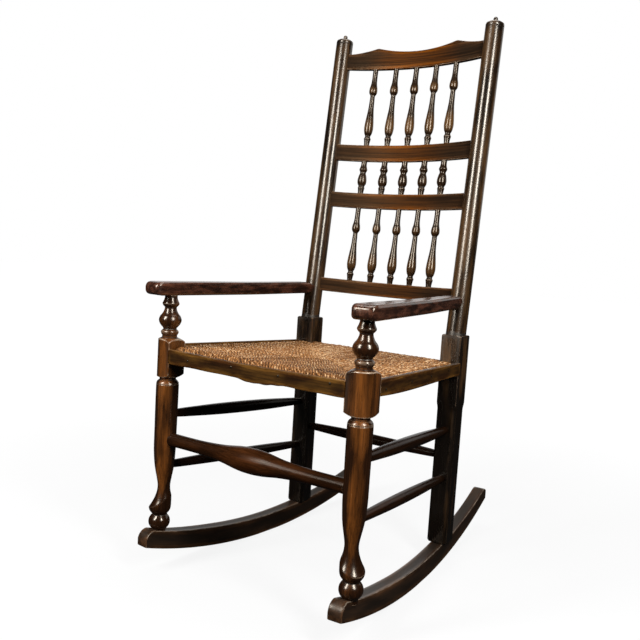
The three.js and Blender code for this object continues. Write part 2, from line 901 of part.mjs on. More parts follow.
function arm_tenon(side, slack = 0) {
  const along = arm_rear(side).sub(arm_front(side)).normalize();
  const start = arm_rear(side).addScaledVector(along, -tenon_depth);
  const tip = arm_rear(side).addScaledVector(along, arm_tenon_depth);
  return tenon(start, tip, arm_tenon_radius, stretcher_sides, slack);
}

// Stations along the arm: distance from the nose, then shares of its width and thickness
function arm_stations(length) {
  const end_start = length - arm_end_length;
  return [
    ...arm_nose_shares.map(([share, ...rest]) => [arm_nose_length * share, ...rest]),
    [length / 2, 1, 1],
    ...arm_end_shares.map(([share, ...rest]) => [end_start + arm_end_length * share, ...rest]),
  ];
}

function arm_section(half_width, half_height, place, across) {
  const round = Math.min(arm_edge_round, half_height, half_width);
  const points = [];
  const corners = [
    [1, 1],
    [-1, 1],
    [-1, -1],
    [1, -1],
  ];
  corners.forEach(([sx, sz], quarter) => {
    for (let i = 0; i <= corner_steps; i++) {
      const angle = ((quarter + i / corner_steps) * Math.PI) / 2;
      const out = sx * (half_width - round) + round * Math.cos(angle);
      const high = sz * (half_height - round) + round * Math.sin(angle);
      points.push(place.clone().addScaledVector(across, out).setZ(place.z + high));
    }
  });
  return points;
}

function make_arm(name, side) {
  const front = arm_front(side);
  const rear = arm_rear(side);
  const along = rear.clone().sub(front).normalize();
  const across = along.clone().cross(up);
  const length = front.distanceTo(rear);
  const rings = arm_stations(length).map(([distance, width_share, height_share]) => {
    const width = THREE.MathUtils.lerp(arm_front_width, arm_rear_width, distance / length);
    const rise = arm_end_rise * THREE.MathUtils.smoothstep(distance, length / 2, length);
    const place = front.clone().addScaledVector(along, distance);
    place.z += rise;
    const half_height = (arm_thickness / 2) * height_share;
    return arm_section((width / 2) * width_share, half_height, place, across);
  });
  let body = solid(loft(rings));
  const post = rod(post_foot_radius + joint_clearance, 0, post_length, leg_sides * 2);
  const raked = back_frame.clone().setPosition(rear_foot(side).x, leg_depth, post_shoulder);
  body = body.subtract(solid(post, raked));
  body = body.add(arm_tenon(side));
  const foot = front_foot(side);
  const socket_foot = foot.clone().setZ(arm_underside - arm_pin_depth);
  const socket_tip = foot.clone().setZ(arm_underside + arm_pin_depth);
  body = body.subtract(tenon(socket_foot, socket_tip, arm_pin_radius, leg_sides, joint_clearance));
  add("arm_" + name, body, stained_wood);
}

// Rush seat: four fields of rush that meet on the diagonals, rolled over the rails at the edges
const rush_reach = block_side / 2 - strip_thickness - joint_clearance - rush_clearance;

function rush_corner(side, end) {
  const foot = end === 0 ? front_foot(side) : rear_foot(side);
  const along = rear_foot(side).sub(front_foot(side)).normalize();
  const outward = along.clone().cross(up).multiplyScalar(side);
  const line_start = foot.clone().addScaledVector(outward, rush_reach);
  const y = end === 0 ? -rush_reach : leg_depth + rush_reach;
  return line_start.addScaledVector(along, (y - line_start.y) / along.y);
}

// Places across the seat, closer together where the rush rolls over an edge
function rush_grid(length) {
  const roll = rush_edge_roll / length;
  const edge = rush_edge_shares.map((share) => share * roll);
  const inner = [];
  for (let i = 1; i < rush_spans; i++) {
    inner.push(THREE.MathUtils.lerp(roll, 1 - roll, i / rush_spans));
  }
  return [...edge, ...inner, ...edge.map((share) => 1 - share).reverse()];
}

function rush_solid() {
  const corners = [rush_corner(-1, 0), rush_corner(1, 0), rush_corner(1, 1), rush_corner(-1, 1)];
  const width = corners[0].distanceTo(corners[1]);
  const depth = leg_depth + 2 * rush_reach;
  const across = rush_grid(width);
  const back = rush_grid(depth);
  const positions = [];
  const lift = (distance) => {
    const share = Math.min(distance / rush_edge_roll, 1);
    return Math.sqrt(1 - (1 - share) ** 2);
  };
  const surface = (u, v, sign) => {
    const front = corners[0].clone().lerp(corners[1], u);
    const rear = corners[3].clone().lerp(corners[2], u);
    const place = front.lerp(rear, v);
    const from_side = Math.min(u, 1 - u) * width;
    const from_end = Math.min(v, 1 - v) * depth;
    const edge = lift(from_side) * lift(from_end);
    const inner = Math.min(from_side / width, from_end / depth) * 2;
    const middle = seat_top_at(place.y) - rush_half_thickness;
    const dish = (sign > 0 ? rush_dip : rush_hollow) * Math.sin((inner * Math.PI) / 2);
    return place.setZ(middle + sign * (rush_half_thickness - dish) * edge);
  };
  for (const sign of [1, -1]) {
    for (const v of back) {
      for (const u of across) positions.push(surface(u, v, sign));
    }
  }
  const columns = across.length;
  const layer = columns * back.length;
  const faces = [];
  for (let r = 0; r + 1 < back.length; r++) {
    for (let c = 0; c + 1 < columns; c++) {
      const a = r * columns + c;
      const b = a + columns;
      faces.push(a, a + 1, b, a + 1, b + 1, b);
      faces.push(layer + a, layer + b, layer + a + 1, layer + a + 1, layer + b, layer + b + 1);
    }
  }
  const geometry = new THREE.BufferGeometry();
  const flat = positions.flatMap((p) => [p.x, p.y, p.z]);
  geometry.setAttribute("position", new THREE.Float32BufferAttribute(flat, 3));
  geometry.setIndex(faces);
  return solid(geometry);
}

// A square column round a leg, which keeps the rush clear of it
function leg_column(foot, side_length) {
  const half = side_length / 2 + rush_clearance;
  const shape = new THREE.Shape();
  shape.moveTo(-half, -half);
  shape.lineTo(half, -half);
  shape.lineTo(half, half);
  shape.lineTo(-half, half);
  const steps = { depth: post_shoulder, bevelEnabled: false };
  const prism = new THREE.ExtrudeGeometry(shape, steps);
  return solid(prism, new THREE.Matrix4().makeTranslation(foot.x, foot.y, 0));
}

function make_rush_seat() {
  let body = rush_solid();
  for (const side of Object.values(side_names)) {
    body = body.subtract(leg_column(front_foot(side), block_side));
    body = body.subtract(leg_column(rear_foot(side), post_side));
  }
  for (const rail of seat_rails) {
    body = body.subtract(tenon(rail.from, rail.to, seat_rail_radius + rush_clearance, seat_rail_sides));
  }
  add("rush_seat", body, rush);
}

// Edging strips: thin boards nailed over the edges of the rush, between the leg blocks
function make_front_strip() {
  const half = front_leg_spread / 2 - block_side / 2 - joint_clearance;
  const top = seat_front_height - front_strip_drop;
  const shape = new THREE.Shape();
  shape.moveTo(-half, top - front_strip_height);
  shape.lineTo(half, top - front_strip_height);
  shape.lineTo(half, top);
  shape.quadraticCurveTo(0, top - 2 * front_strip_sag, -half, top);
  const from = at(0, -block_side / 2 + strip_thickness / 2, 0);
  const place = upright(from, at(half, from.y, 0));
  add("edging_strip_front", solid(board(shape, strip_thickness), place), stained_wood);
}

function make_side_strip(name, side) {
  const along = rear_foot(side).sub(front_foot(side)).normalize();
  const outward = along.clone().cross(up).multiplyScalar(side);
  const from = front_foot(side).addScaledVector(outward, block_side / 2 - strip_thickness / 2);
  const fall = seat_fall * along.y;
  const top = (distance) => seat_front_height - fall * distance;
  const low = (distance) => top(distance) - side_strip_height;
  const third = leg_line_length / 3;
  const shape = new THREE.Shape();
  shape.moveTo(0, low(0));
  shape.bezierCurveTo(
    third,
    low(third) - 2 * side_strip_belly,
    2 * third,
    low(2 * third) + side_strip_belly / 2,
    leg_line_length,
    low(leg_line_length),
  );
  shape.lineTo(leg_line_length, top(leg_line_length));
  shape.lineTo(0, top(0));
  const whole = solid(board(shape, strip_thickness), upright(from, from.clone().add(along)));
  const between = whole.subtract(leg_column(front_foot(side), block_side));
  add("edging_strip_" + name, between.subtract(leg_column(rear_foot(side), post_side)), stained_wood);
}

for (const [name, side] of Object.entries(side_names)) {
  make_rocker(name, side);
  make_front_leg(name, side);
  make_back_post(name, side);
  make_arm(name, side);
  make_side_strip(name, side);
}
make_front_strip();
stretchers.forEach(make_stretcher);
seat_rails.forEach(make_seat_rail);
back_rails.forEach(make_back_rail);
for (const row of spindle_rows) {
  spindle_places.forEach((x, i) => make_spindle(row, x, i + 1));
}
make_rush_seat();

const bounds = new THREE.Box3().setFromObject(chair);
chair.position.y = -(bounds.min.y + bounds.max.y) / 2;

export default chair;
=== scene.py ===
import math

import bpy
import numpy as np
from mathutils import Matrix, Vector


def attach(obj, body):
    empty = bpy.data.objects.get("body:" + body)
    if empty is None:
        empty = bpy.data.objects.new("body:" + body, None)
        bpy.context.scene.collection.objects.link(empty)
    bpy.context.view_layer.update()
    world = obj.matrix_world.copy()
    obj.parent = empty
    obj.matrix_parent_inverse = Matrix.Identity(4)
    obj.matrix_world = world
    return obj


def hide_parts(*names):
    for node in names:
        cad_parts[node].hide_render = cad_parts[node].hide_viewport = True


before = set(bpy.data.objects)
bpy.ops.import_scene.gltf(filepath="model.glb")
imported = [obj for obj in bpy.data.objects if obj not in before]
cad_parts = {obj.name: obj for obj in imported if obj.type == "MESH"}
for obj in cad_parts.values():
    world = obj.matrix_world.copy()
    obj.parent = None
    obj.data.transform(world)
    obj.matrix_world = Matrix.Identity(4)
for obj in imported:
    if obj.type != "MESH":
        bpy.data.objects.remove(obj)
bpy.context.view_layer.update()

# The viewpoint. The photograph is taken from the chair's left front, a little above the seat,
# with the horizon turned by a few degrees, on a white ground with next to no shadow.
CAMERA_PLACE = (0.8068, -1.31766, 0.6287)
CAMERA_RIGHT = (0.82250717, 0.56538837, 0.06178956)
CAMERA_UP = (-0.10441432, 0.04331185, 0.99359032)
CAMERA_BACK = (0.5590882, -0.82368688, 0.09465895)
CAMERA_LENS = 42.64

camera = bpy.data.objects.new("viewpoint", bpy.data.cameras.new("viewpoint"))
camera.data.lens = CAMERA_LENS
camera.data.sensor_width = 36
camera.data.clip_start = 0.01
axes = Matrix((CAMERA_RIGHT, CAMERA_UP, CAMERA_BACK)).transposed()
camera.matrix_world = Matrix.Translation(CAMERA_PLACE) @ axes.to_4x4()
bpy.context.scene.collection.objects.link(camera)
bpy.context.scene.camera = camera
bpy.context.scene.view_settings.view_transform = "Standard"

# The studio. A tall softbox stands on each side of the viewpoint, a wide one hangs over the seat
# and a weak one stands behind the chair, and each draws a line of light down every turned piece.
# The white backdrop is seen as plain white, and as a sheen on what faces along it.
BACKDROP_TOWARDS = (-0.556, 0.819, 0.14)
BACKDROP_EDGE = (0.84, 0.97)
ROOM_LIGHT = 0.045
ROOM_SHEEN = 0.01
LAMPS = {
    "softbox_left": ((-0.6, -1.75, 1.42), (0.42, 1.1), 34, (0.0, 0.0, 0.6)),
    "softbox_right": ((1.08, -0.62, 1.2), (0.26, 0.85), 17, (0.0, 0.0, 0.65)),
    "softbox_over": ((-0.1, 0.25, 2.3), (1.2, 1.0), 16, (0.0, -0.1, 0.4)),
    "softbox_back": ((0.6, 1.9, 1.3), (1.4, 1.2), 4, (0.0, 0.1, 0.6)),
}
for lamp_name, (lamp_place, (width, height), power, aim) in LAMPS.items():
    light = bpy.data.lights.new(lamp_name, "AREA")
    light.shape = "RECTANGLE"
    light.size = width
    light.size_y = height
    light.energy = power
    lamp = bpy.data.objects.new(lamp_name, light)
    lamp.location = lamp_place
    facing = Vector(aim) - Vector(lamp_place)
    lamp.rotation_euler = facing.to_track_quat("-Z", "Y").to_euler()
    lamp.visible_camera = False
    bpy.context.scene.collection.objects.link(lamp)


def feed(tree, node, inputs):
    """Joins each named input of a node to another node's output, or sets it to a value."""
    for socket, value in inputs.items():
        if isinstance(value, bpy.types.NodeSocket):
            tree.links.new(value, node.inputs[socket])
        else:
            node.inputs[socket].default_value = value


def new_node(tree, kind, inputs=None, **settings):
    node = tree.nodes.new("ShaderNode" + kind)
    for setting, value in settings.items():
        setattr(node, setting, value)
    feed(tree, node, inputs or {})
    return node


def maths(tree, kind, first, second):
    return new_node(tree, "Math", {0: first, 1: second}, operation=kind).outputs[0]


def ranged(tree, value, low, high, to_low=0.0, to_high=1.0, interpolation="SMOOTHSTEP"):
    """A value taken from one range to another, eased at both ends unless it is to be linear."""
    inputs = {"Value": value, "From Min": low, "From Max": high, "To Min": to_low, "To Max": to_high}
    return new_node(tree, "MapRange", inputs, interpolation_type=interpolation).outputs["Result"]


world = bpy.data.worlds.new("studio")
bpy.context.scene.world = world
world.use_nodes = True
tree = world.node_tree
tree.nodes.clear()
ray = new_node(tree, "LightPath").outputs
place = new_node(tree, "TexCoord").outputs["Generated"]
facing = new_node(tree, "VectorMath", {0: place, 1: BACKDROP_TOWARDS}, operation="DOT_PRODUCT")
backdrop = ranged(tree, facing.outputs["Value"], *BACKDROP_EDGE)
mirrored = maths(tree, "MAXIMUM", ray["Is Glossy Ray"], ray["Is Transmission Ray"])
mirrored = maths(tree, "MULTIPLY", mirrored, backdrop)
white = maths(tree, "MAXIMUM", ray["Is Camera Ray"], mirrored)
dim = maths(tree, "MULTIPLY", ray["Is Diffuse Ray"], ROOM_LIGHT)
dim = maths(tree, "ADD", dim, ROOM_SHEEN)
seen = new_node(tree, "Background", {"Color": (1, 1, 1, 1), "Strength": 1.0})
room = new_node(tree, "Background", {"Color": (0.92, 0.96, 1, 1), "Strength": dim})
mixed = new_node(tree, "MixShader", {"Fac": white, 1: room.outputs[0], 2: seen.outputs[0]})
new_node(tree, "OutputWorld", {"Surface": mixed.outputs[0]})

# The floor: white paper, which runs out into the white of the backdrop, and on which the chair
# keeps a faint soft shadow.
FLOOR_REACH = 12
SHADE_REACH = (0.4, 2.2)
PAPER_WHITE = (0.88, 1.0)
floor_mesh = bpy.data.meshes.new("floor")
floor_corners = [(x * FLOOR_REACH, y * FLOOR_REACH, 0) for x, y in ((-1, -1), (1, -1), (1, 1), (-1, 1))]
floor_mesh.from_pydata(floor_corners, [], [(0, 1, 2, 3)])
floor = bpy.data.objects.new("floor", floor_mesh)
bpy.context.scene.collection.objects.link(floor)


def new_material(name):
    made = bpy.data.materials.new(name)
    made.use_nodes = True
    return made, made.node_tree


paper, tree = new_material("white_paper")
tree.nodes.clear()
ray = new_node(tree, "LightPath").outputs
place = new_node(tree, "TexCoord").outputs["Object"]
distance = new_node(tree, "VectorMath", {0: place}, operation="LENGTH")
far = ranged(tree, distance.outputs["Value"], *SHADE_REACH, *PAPER_WHITE)
mirrored = maths(tree, "MAXIMUM", ray["Is Glossy Ray"], ray["Is Transmission Ray"])
mirrored = maths(tree, "MULTIPLY", mirrored, 0.01)
seen = maths(tree, "MAXIMUM", ray["Is Camera Ray"], mirrored)
seen = maths(tree, "MULTIPLY", seen, far)
shade = maths(tree, "MULTIPLY", ray["Is Camera Ray"], 0.1)
shade = maths(tree, "ADD", shade, 0.012)
matt = new_node(tree, "BsdfDiffuse", {"Color": shade})
glow = new_node(tree, "Emission", {"Color": (1, 1, 1, 1), "Strength": seen})
both = new_node(tree, "AddShader", {0: matt.outputs[0], 1: glow.outputs[0]})
new_node(tree, "OutputMaterial", {"Surface": both.outputs[0]})
floor_mesh.materials.append(paper)

# Rockers. Each is one board sawn to a long arc, 26 mm thick, worn to a short flat where the
# chair rests, with a rounded nose in front of the foot and a long tail behind the rear leg.
# All sizes are millimetres until the skin is made.
MM = 0.001
SIDES = {"left": 1, "right": -1}
FRONT_FOOT = np.array((212.5, -311.66))
REAR_FOOT = np.array((180.0, 96.34))
ROCKER_RADIUS = 1085
ROCKER_REST = 292
ROCKER_FLAT = 64
ROCKER_WIDTH = 26
NOSE_REACH = 45
NOSE_ROUND = 18
NOSE_DEPTH = 33
MIDDLE_DEPTH = 38
TAIL_REACH = 261
TAIL_ROUND = 22
TAIL_CORNER = 16
TAIL_DEPTH = 30
ARRIS = 2.0
leg_line = np.linalg.norm(REAR_FOOT - FRONT_FOOT)
nose_end = -NOSE_REACH
tail_end = leg_line + TAIL_REACH


def ring_faces(count, size, base=0):
    """The faces of a closed skin over rings of points, the first of which has the number base."""
    start = base + np.arange(count - 1)[:, None] * size
    here = np.arange(size)[None]
    after = (here + 1) % size
    quads = (start + here, start + after, start + size + after, start + size + here)
    faces = np.stack(np.broadcast_arrays(*quads), -1).reshape(-1, 4).tolist()
    faces.append(list(range(base, base + size))[::-1])
    faces.append(list(range(base + (count - 1) * size, base + count * size)))
    return faces


def skin(node, rings, grain, material, light=None):
    """One closed skin of quads over rings of points. Grain holds each point's place in the
    board or billet that it was cut from, its third number along the fibres."""
    rings = np.asarray(rings, float)
    apart = np.abs(np.diff(rings, axis=0)).max((1, 2)) > 0.02
    kept = np.concatenate([[True], apart])
    rings = rings[kept] * MM
    grain = np.asarray(grain, float)[kept]
    if light is not None:
        light = np.asarray(light, float)[kept]
    faces = ring_faces(*rings.shape[:2])
    piece(node, rings.reshape(-1, 3), grain.reshape(-1, 3), faces, material, light)


def piece(node, corners, grain, faces, material, light=None, smooth=42):
    """A mesh with its layers and its material, put in place of the solid of its name."""
    mesh = bpy.data.meshes.new("finished_" + node)
    mesh.from_pydata(corners.tolist(), [], faces)
    mesh.update()
    corners = np.array([v.co for v in mesh.vertices])
    area = sum(p.area * p.normal.dot(p.center) for p in mesh.polygons)
    if area < 0:
        mesh.flip_normals()
    mesh.shade_smooth()
    mesh.set_sharp_from_angle(angle=math.radians(smooth))
    offset = np.array([sum(map(ord, node)) % 97, sum(map(ord, node[::-1])) * 7 % 89, len(node)]) * 0.37
    stored = mesh.attributes.new("grain", "FLOAT_VECTOR", "POINT")
    stored.data.foreach_set("vector", (grain * MM + offset).astype(np.float32).ravel())
    if light is None:
        light = np.zeros(len(corners))
    for layer, values in (("edge", edge_values(mesh, corners)), ("light", light)):
        stored = mesh.attributes.new(layer, "FLOAT", "POINT")
        stored.data.foreach_set("value", np.asarray(values, np.float32).ravel())
    obj = bpy.data.objects.new("finished_" + node, mesh)
    bpy.context.scene.collection.objects.link(obj)
    mesh.materials.append(material)
    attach(obj, "root")
    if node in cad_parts:
        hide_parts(node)


def edge_values(mesh, corners):
    """How much more convex each corner of the mesh is than what lies round it, per millimetre."""
    normals = np.empty(len(corners) * 3)
    mesh.vertex_normals.foreach_get("vector", normals)
    normals = normals.reshape(-1, 3)
    ends = np.empty(len(mesh.edges) * 2, int)
    mesh.edges.foreach_get("vertices", ends)
    a, b = ends.reshape(-1, 2).T
    step = corners[b] - corners[a]
    square = np.maximum((step**2).sum(1), 1e-10)
    total = np.zeros(len(corners))
    number = np.zeros(len(corners))
    for end, sign in ((a, -1), (b, 1)):
        np.add.at(total, end, sign * (normals[end] * step).sum(1) / square)
        np.add.at(number, end, 1)
    bend = total / np.maximum(number, 1) * 2 * MM

    def blurred(values, times):
        for _ in range(times):
            around = np.zeros(len(values))
            np.add.at(around, a, values[b])
            np.add.at(around, b, values[a])
            values = (values + around / np.maximum(number, 1)) / 2
        return values

    return blurred(bend, 2) - blurred(bend, 40)


def arc_height(along, radius):
    centre = math.sqrt(ROCKER_RADIUS**2 - (ROCKER_FLAT / 2) ** 2)
    return centre - np.sqrt(radius**2 - (along - ROCKER_REST) ** 2)


def smoothstep(value, low, high):
    share = np.clip((value - low) / (high - low), 0, 1)
    return share * share * (3 - 2 * share)


def rocker_top(along):
    depth = NOSE_DEPTH + (MIDDLE_DEPTH - NOSE_DEPTH) * smoothstep(along, nose_end, nose_end + 200)
    depth = depth + (TAIL_DEPTH - depth) * smoothstep(along, tail_end - 330, tail_end)
    return arc_height(along, ROCKER_RADIUS - depth)


def leg_line_frame(side):
    foot = FRONT_FOOT * (side, 1)
    ahead = (REAR_FOOT - FRONT_FOOT) * (side, 1) / leg_line
    across = np.array((-ahead[1], ahead[0])) * -side
    return foot, ahead, across


def softened(half_width, low, high, radius, steps=4, spans=4):
    """A rectangle with rounded corners as (across, height) points, its flats in short spans."""
    radius = min(radius, half_width * 0.98, (high - low) * 0.49)
    middle, half_height = (low + high) / 2, (high - low) / 2
    corners = ((1, 1), (-1, 1), (-1, -1), (1, -1))
    points = []

    def round_corner(side, face, turn):
        across = side * (half_width - radius) + radius * math.cos(turn)
        return across, middle + face * (half_height - radius) + radius * math.sin(turn)

    for quarter, corner in enumerate(corners):
        for i in range(steps + 1):
            points.append(round_corner(*corner, (quarter + i / steps) * math.pi / 2))
        first = np.array(points[-1])
        last = np.array(round_corner(*corners[(quarter + 1) % 4], (quarter + 1) * math.pi / 2))
        for i in range(1, spans):
            points.append(tuple(first + (last - first) * i / spans))
    return np.array(points)


def board_ring(line, along, section, base=0.0):
    """A cross-section stood across a board's line, and the places of its points in the board."""
    start, ahead, across = line
    plan = start + ahead * along + np.outer(section[:, 0], across)
    places = np.column_stack([section[:, 0], section[:, 1] - base, np.full(len(section), along)])
    return np.column_stack([plan, section[:, 1]]), places


def shader_group(name, takes, gives):
    """An empty shader group that takes a place in the wood and some numbers, and gives numbers."""
    group = bpy.data.node_groups.new(name, "ShaderNodeTree")
    group.interface.new_socket("Grain", in_out="INPUT", socket_type="NodeSocketVector")
    for socket, value in takes.items():
        made = group.interface.new_socket(socket, in_out="INPUT", socket_type="NodeSocketFloat")
        made.default_value = value
    for socket in gives:
        group.interface.new_socket(socket, in_out="OUTPUT", socket_type="NodeSocketFloat")
    return group, group.nodes.new("NodeGroupInput").outputs, group.nodes.new("NodeGroupOutput")


def wood_figure():
    """Shader group: fine fibres, open pores, broad streaks and slow clouds of colour in wood."""
    takes = {"Fibre Width": 2.5, "Fibre Length": 60.0, "Cloud Width": 60.0, "Cloud Length": 60.0}
    group, into, out = shader_group("wood_figure", takes, ("Fibres", "Pores", "Clouds", "Streaks"))

    def drawn_out(kind, detail, rough, finer=(1.0, 1.0)):
        """Noise drawn out along the wood, so many times finer than the size that the group takes."""
        across = maths(group, "DIVIDE", 1000.0 * finer[0], into[kind + " Width"])
        along = maths(group, "DIVIDE", 1000.0 * finer[1], into[kind + " Length"])
        scale = new_node(group, "CombineXYZ", {"X": across, "Y": across, "Z": along}).outputs[0]
        place = new_node(group, "VectorMath", {0: into["Grain"], 1: scale}, operation="MULTIPLY")
        inputs = {"Vector": place.outputs[0], "Scale": 1.0, "Detail": detail, "Roughness": rough}
        return new_node(group, "TexNoise", inputs).outputs["Fac"]

    pores = drawn_out("Fibre", 2.0, 0.5, (3.2, 4.0))
    figures = {
        "Fibres": drawn_out("Fibre", 4.0, 0.62),
        "Pores": ranged(group, pores, 0.57, 0.72),
        "Clouds": drawn_out("Cloud", 3.0, 0.55),
        "Streaks": drawn_out("Fibre", 0.0, 0.4, (0.3, 0.25)),
    }
    feed(group, out, figures)
    return group


def edge_wear_and_hollow_shade():
    """Shader group: splits the edge value into edges rubbed in patches, and dirt with painted shade in
    the hollows.
    """
    takes = {"Edge": 0.0, "Rub Start": 0.03, "Rub Full": 0.14, "Dirt And Shade Full": 0.10}
    group, into, out = shader_group("edge_wear_and_hollow_shade", takes, ("Rubbed", "Dirt And Shade"))
    inputs = {"Vector": into["Grain"], "Scale": 55.0, "Detail": 5.0, "Roughness": 0.65}
    patches = new_node(group, "TexNoise", inputs).outputs["Fac"]
    patches = ranged(group, patches, 0.38, 0.62, interpolation="LINEAR")
    rubbed = ranged(group, into["Edge"], into["Rub Start"], into["Rub Full"])
    rubbed = maths(group, "MULTIPLY", rubbed, patches)
    hollow = maths(group, "MULTIPLY", into["Edge"], -1.0)
    dirt_and_shade = ranged(group, hollow, 0.015, into["Dirt And Shade Full"])
    feed(group, out, {"Rubbed": rubbed, "Dirt And Shade": dirt_and_shade})
    return group


FIGURE = wood_figure()
WEAR_AND_SHADE = edge_wear_and_hollow_shade()


def polished_wood(
    name, dark, warm, rubbed, fibre=(2.5, 60.0), patch=(22.0, 110.0), warmth=0.5, wear=1.0,
    roughness=0.2, shine=0.9, tint=(1, 0.9, 0.76), lines=0.35, relief=0.3,
):
    """Old stained and polished wood: dark stain, warmer where it has rubbed thin, and lighter or
    darker where the light layer paints in light and shade. Fibre and patch are the width and
    length in millimetres of the fibres and of the clouds of colour."""
    made, tree = new_material(name)
    grain = new_node(tree, "Attribute", attribute_name="grain").outputs["Vector"]
    edge = new_node(tree, "Attribute", attribute_name="edge").outputs["Fac"]
    light = new_node(tree, "Attribute", attribute_name="light").outputs["Fac"]
    inputs = {"Grain": grain, "Fibre Width": fibre[0], "Fibre Length": fibre[1]}
    inputs.update({"Cloud Width": patch[0], "Cloud Length": patch[1]})
    figure = new_node(tree, "Group", inputs, node_tree=FIGURE).outputs
    worn_and_shaded = new_node(tree, "Group", {"Grain": grain, "Edge": edge}, node_tree=WEAR_AND_SHADE).outputs

    def mix(kind, share, *colours):
        first, second = (c if isinstance(c, bpy.types.NodeSocket) else (*c, 1) for c in colours)
        inputs = {"Factor": share, "A": first, "B": second}
        return new_node(tree, "Mix", inputs, data_type="RGBA", blend_type=kind).outputs["Result"]

    def times(value, number):
        return maths(tree, "MULTIPLY", value, number)

    clouds = ranged(tree, figure["Clouds"], 0.35, 0.68)
    # the light layer adds painted light and shade to the warmth of the stain rubbed thin
    thin_stain_and_painted_light = maths(tree, "ADD", times(clouds, warmth), light)
    ground = mix("MIX", maths(tree, "MINIMUM", thin_stain_and_painted_light, 1.0), dark, warm)
    fibres = ranged(tree, figure["Fibres"], 0.34, 0.66, 1 - lines, 1 + 0.85 * lines)
    ground = mix("MULTIPLY", 1.0, ground, fibres)
    ground = mix("MIX", times(figure["Pores"], 0.55), ground, tuple(c * 0.3 for c in dark))
    ground = mix("MIX", times(worn_and_shaded["Rubbed"], wear), ground, rubbed)
    # dirt and painted shade darken the hollows
    ground = mix("MIX", times(worn_and_shaded["Dirt And Shade"], 0.75), ground, (0.006, 0.004, 0.003))
    gloss = ranged(tree, figure["Clouds"], 0.3, 0.7, roughness - 0.03, roughness + 0.06)
    gloss = maths(tree, "ADD", gloss, times(worn_and_shaded["Dirt And Shade"], 0.2))
    inputs = {"Strength": relief, "Distance": 0.0005, "Height": figure["Streaks"]}
    bump = new_node(tree, "Bump", inputs).outputs["Normal"]
    surface = {"Base Color": ground, "Roughness": gloss, "Normal": bump}
    surface.update({"Specular IOR Level": shine, "Specular Tint": (*tint, 1)})
    feed(tree, tree.nodes["Principled BSDF"], surface)
    return made


rocker_wood = polished_wood(
    "rocker_wood", (0.04, 0.018, 0.008), (0.15, 0.065, 0.026), (0.5, 0.4, 0.3),
    warmth=0.8, wear=0.6, roughness=0.35, shine=0.6,
)

for name, side in SIDES.items():
    line = leg_line_frame(side)
    stations = []
    nose_steps = nose_end + NOSE_ROUND * (1 - np.cos(np.linspace(0, math.pi / 2, 9)))
    for along in [*nose_steps, *np.linspace(nose_end + NOSE_ROUND, tail_end - TAIL_ROUND, 130)[1:]]:
        low = arc_height(along, ROCKER_RADIUS)
        if abs(along - ROCKER_REST) < ROCKER_FLAT / 2:
            low = 0.0
        high = rocker_top(max(along, nose_end + NOSE_ROUND))
        inward = 1 - (along - nose_end) / NOSE_ROUND
        if inward > 0:
            high -= NOSE_ROUND * (1 - math.sqrt(1 - inward**2))
        section = softened(ROCKER_WIDTH / 2, low, high, ARRIS)
        if along == nose_steps[0]:
            middle = (0, (low + high) / 2)
            section = (section - middle) * (0.9, 0.93) + middle
        stations.append(board_ring(line, along, section, low))
    # the tail is cut square to the arc, and its upper corner rounded
    slope = (tail_end - ROCKER_REST) / ROCKER_RADIUS
    for step in np.linspace(0, 1, 9)[1:]:
        along = tail_end - TAIL_ROUND + TAIL_ROUND * step
        low = arc_height(along, ROCKER_RADIUS)
        high = rocker_top(along - TAIL_DEPTH * slope * step)
        high -= TAIL_CORNER * (1 - math.sqrt(1 - step**2))
        high = min(high, rocker_top(tail_end - TAIL_ROUND) + TAIL_ROUND * slope * step)
        half_width = ROCKER_WIDTH / 2 * (1 if step < 1 else 0.93)
        section = softened(half_width, low, max(high, low + 8), ARRIS)
        stations.append(board_ring(line, along, section, low))
    rings, grain = zip(*stations)
    skin("rocker_" + name, rings, grain, rocker_wood)

# Front legs. Each is turned from one length of wood, from the rocker to the arm: a club foot
# turned about a second centre so that its toe points forward, a swelling shaft, a square block
# that takes the seat rails, and a vase and ring above it. The block's outer corner stays round.
PAD_OUTLINE = [
    (70, 13), (76.5, 13), (76.5, 13), (79, 14.8), (82.5, 17.6), (86.5, 19.5), (91.5, 20.2), (96.5, 19.5),
    (100.5, 17.6), (104, 14.9), (105.6, 13.6), (106.6, 13.6), (106.6, 13.6), (108.3, 15.3), (111, 17.5),
    (114, 19.3), (118, 20.5), (123, 21), (150, 21),
]
FRONT_LEG_OUTLINE = [
    (70, 40), (100, 38), (106, 34.5), (112, 30.6), (118.5, 27.2), (126, 22.6), (134, 18.4), (142, 15.2),
    (150, 12.9), (157, 11.9), (162, 11.75), (168, 12.3), (174, 13.3), (180, 14.4), (189, 16.2),
    (200, 18), (207, 18.8), (216, 19.5), (228, 20.2), (237, 20.5), (274, 20.7), (309, 21), (356, 21),
    (357.6, 20.9), (358.4, 20.2), (359.2, 20.8), (360.5, 20.5), (363, 19.2), (365, 17.4),
    (366.5, 15.3), (366.5, 15.3), (368.7, 15.1), (369.5, 15.1),
]
UPPER_OUTLINE = [
    (446, 13.9), (448, 13.8), (450, 13.8), (450, 13.8), (452.5, 15.5), (455.5, 16.4), (458.5, 15.4),
    (461, 12.6), (462.2, 12.1), (462.2, 12.1), (464.5, 13.5), (467, 15.9), (471, 18.7), (474, 20.1),
    (478, 20.9), (482, 20.2), (486, 18.4), (489, 15.9), (492, 13.9), (495, 12.5), (498, 11.4),
    (501, 10.9), (502.3, 11.1), (502.3, 11.1), (504.5, 13.4), (507, 15.2), (509.5, 15.6), (511.5, 14.8),
    (514, 13.6), (517, 12.5), (520, 11.8), (524.5, 11.7),
]
BLOCK_LOW = 369.5
BLOCK_TOP = 446
BLOCK_HALF = 20.5
TOE_TURN = math.radians(25)
TOE_SHIFT = 5


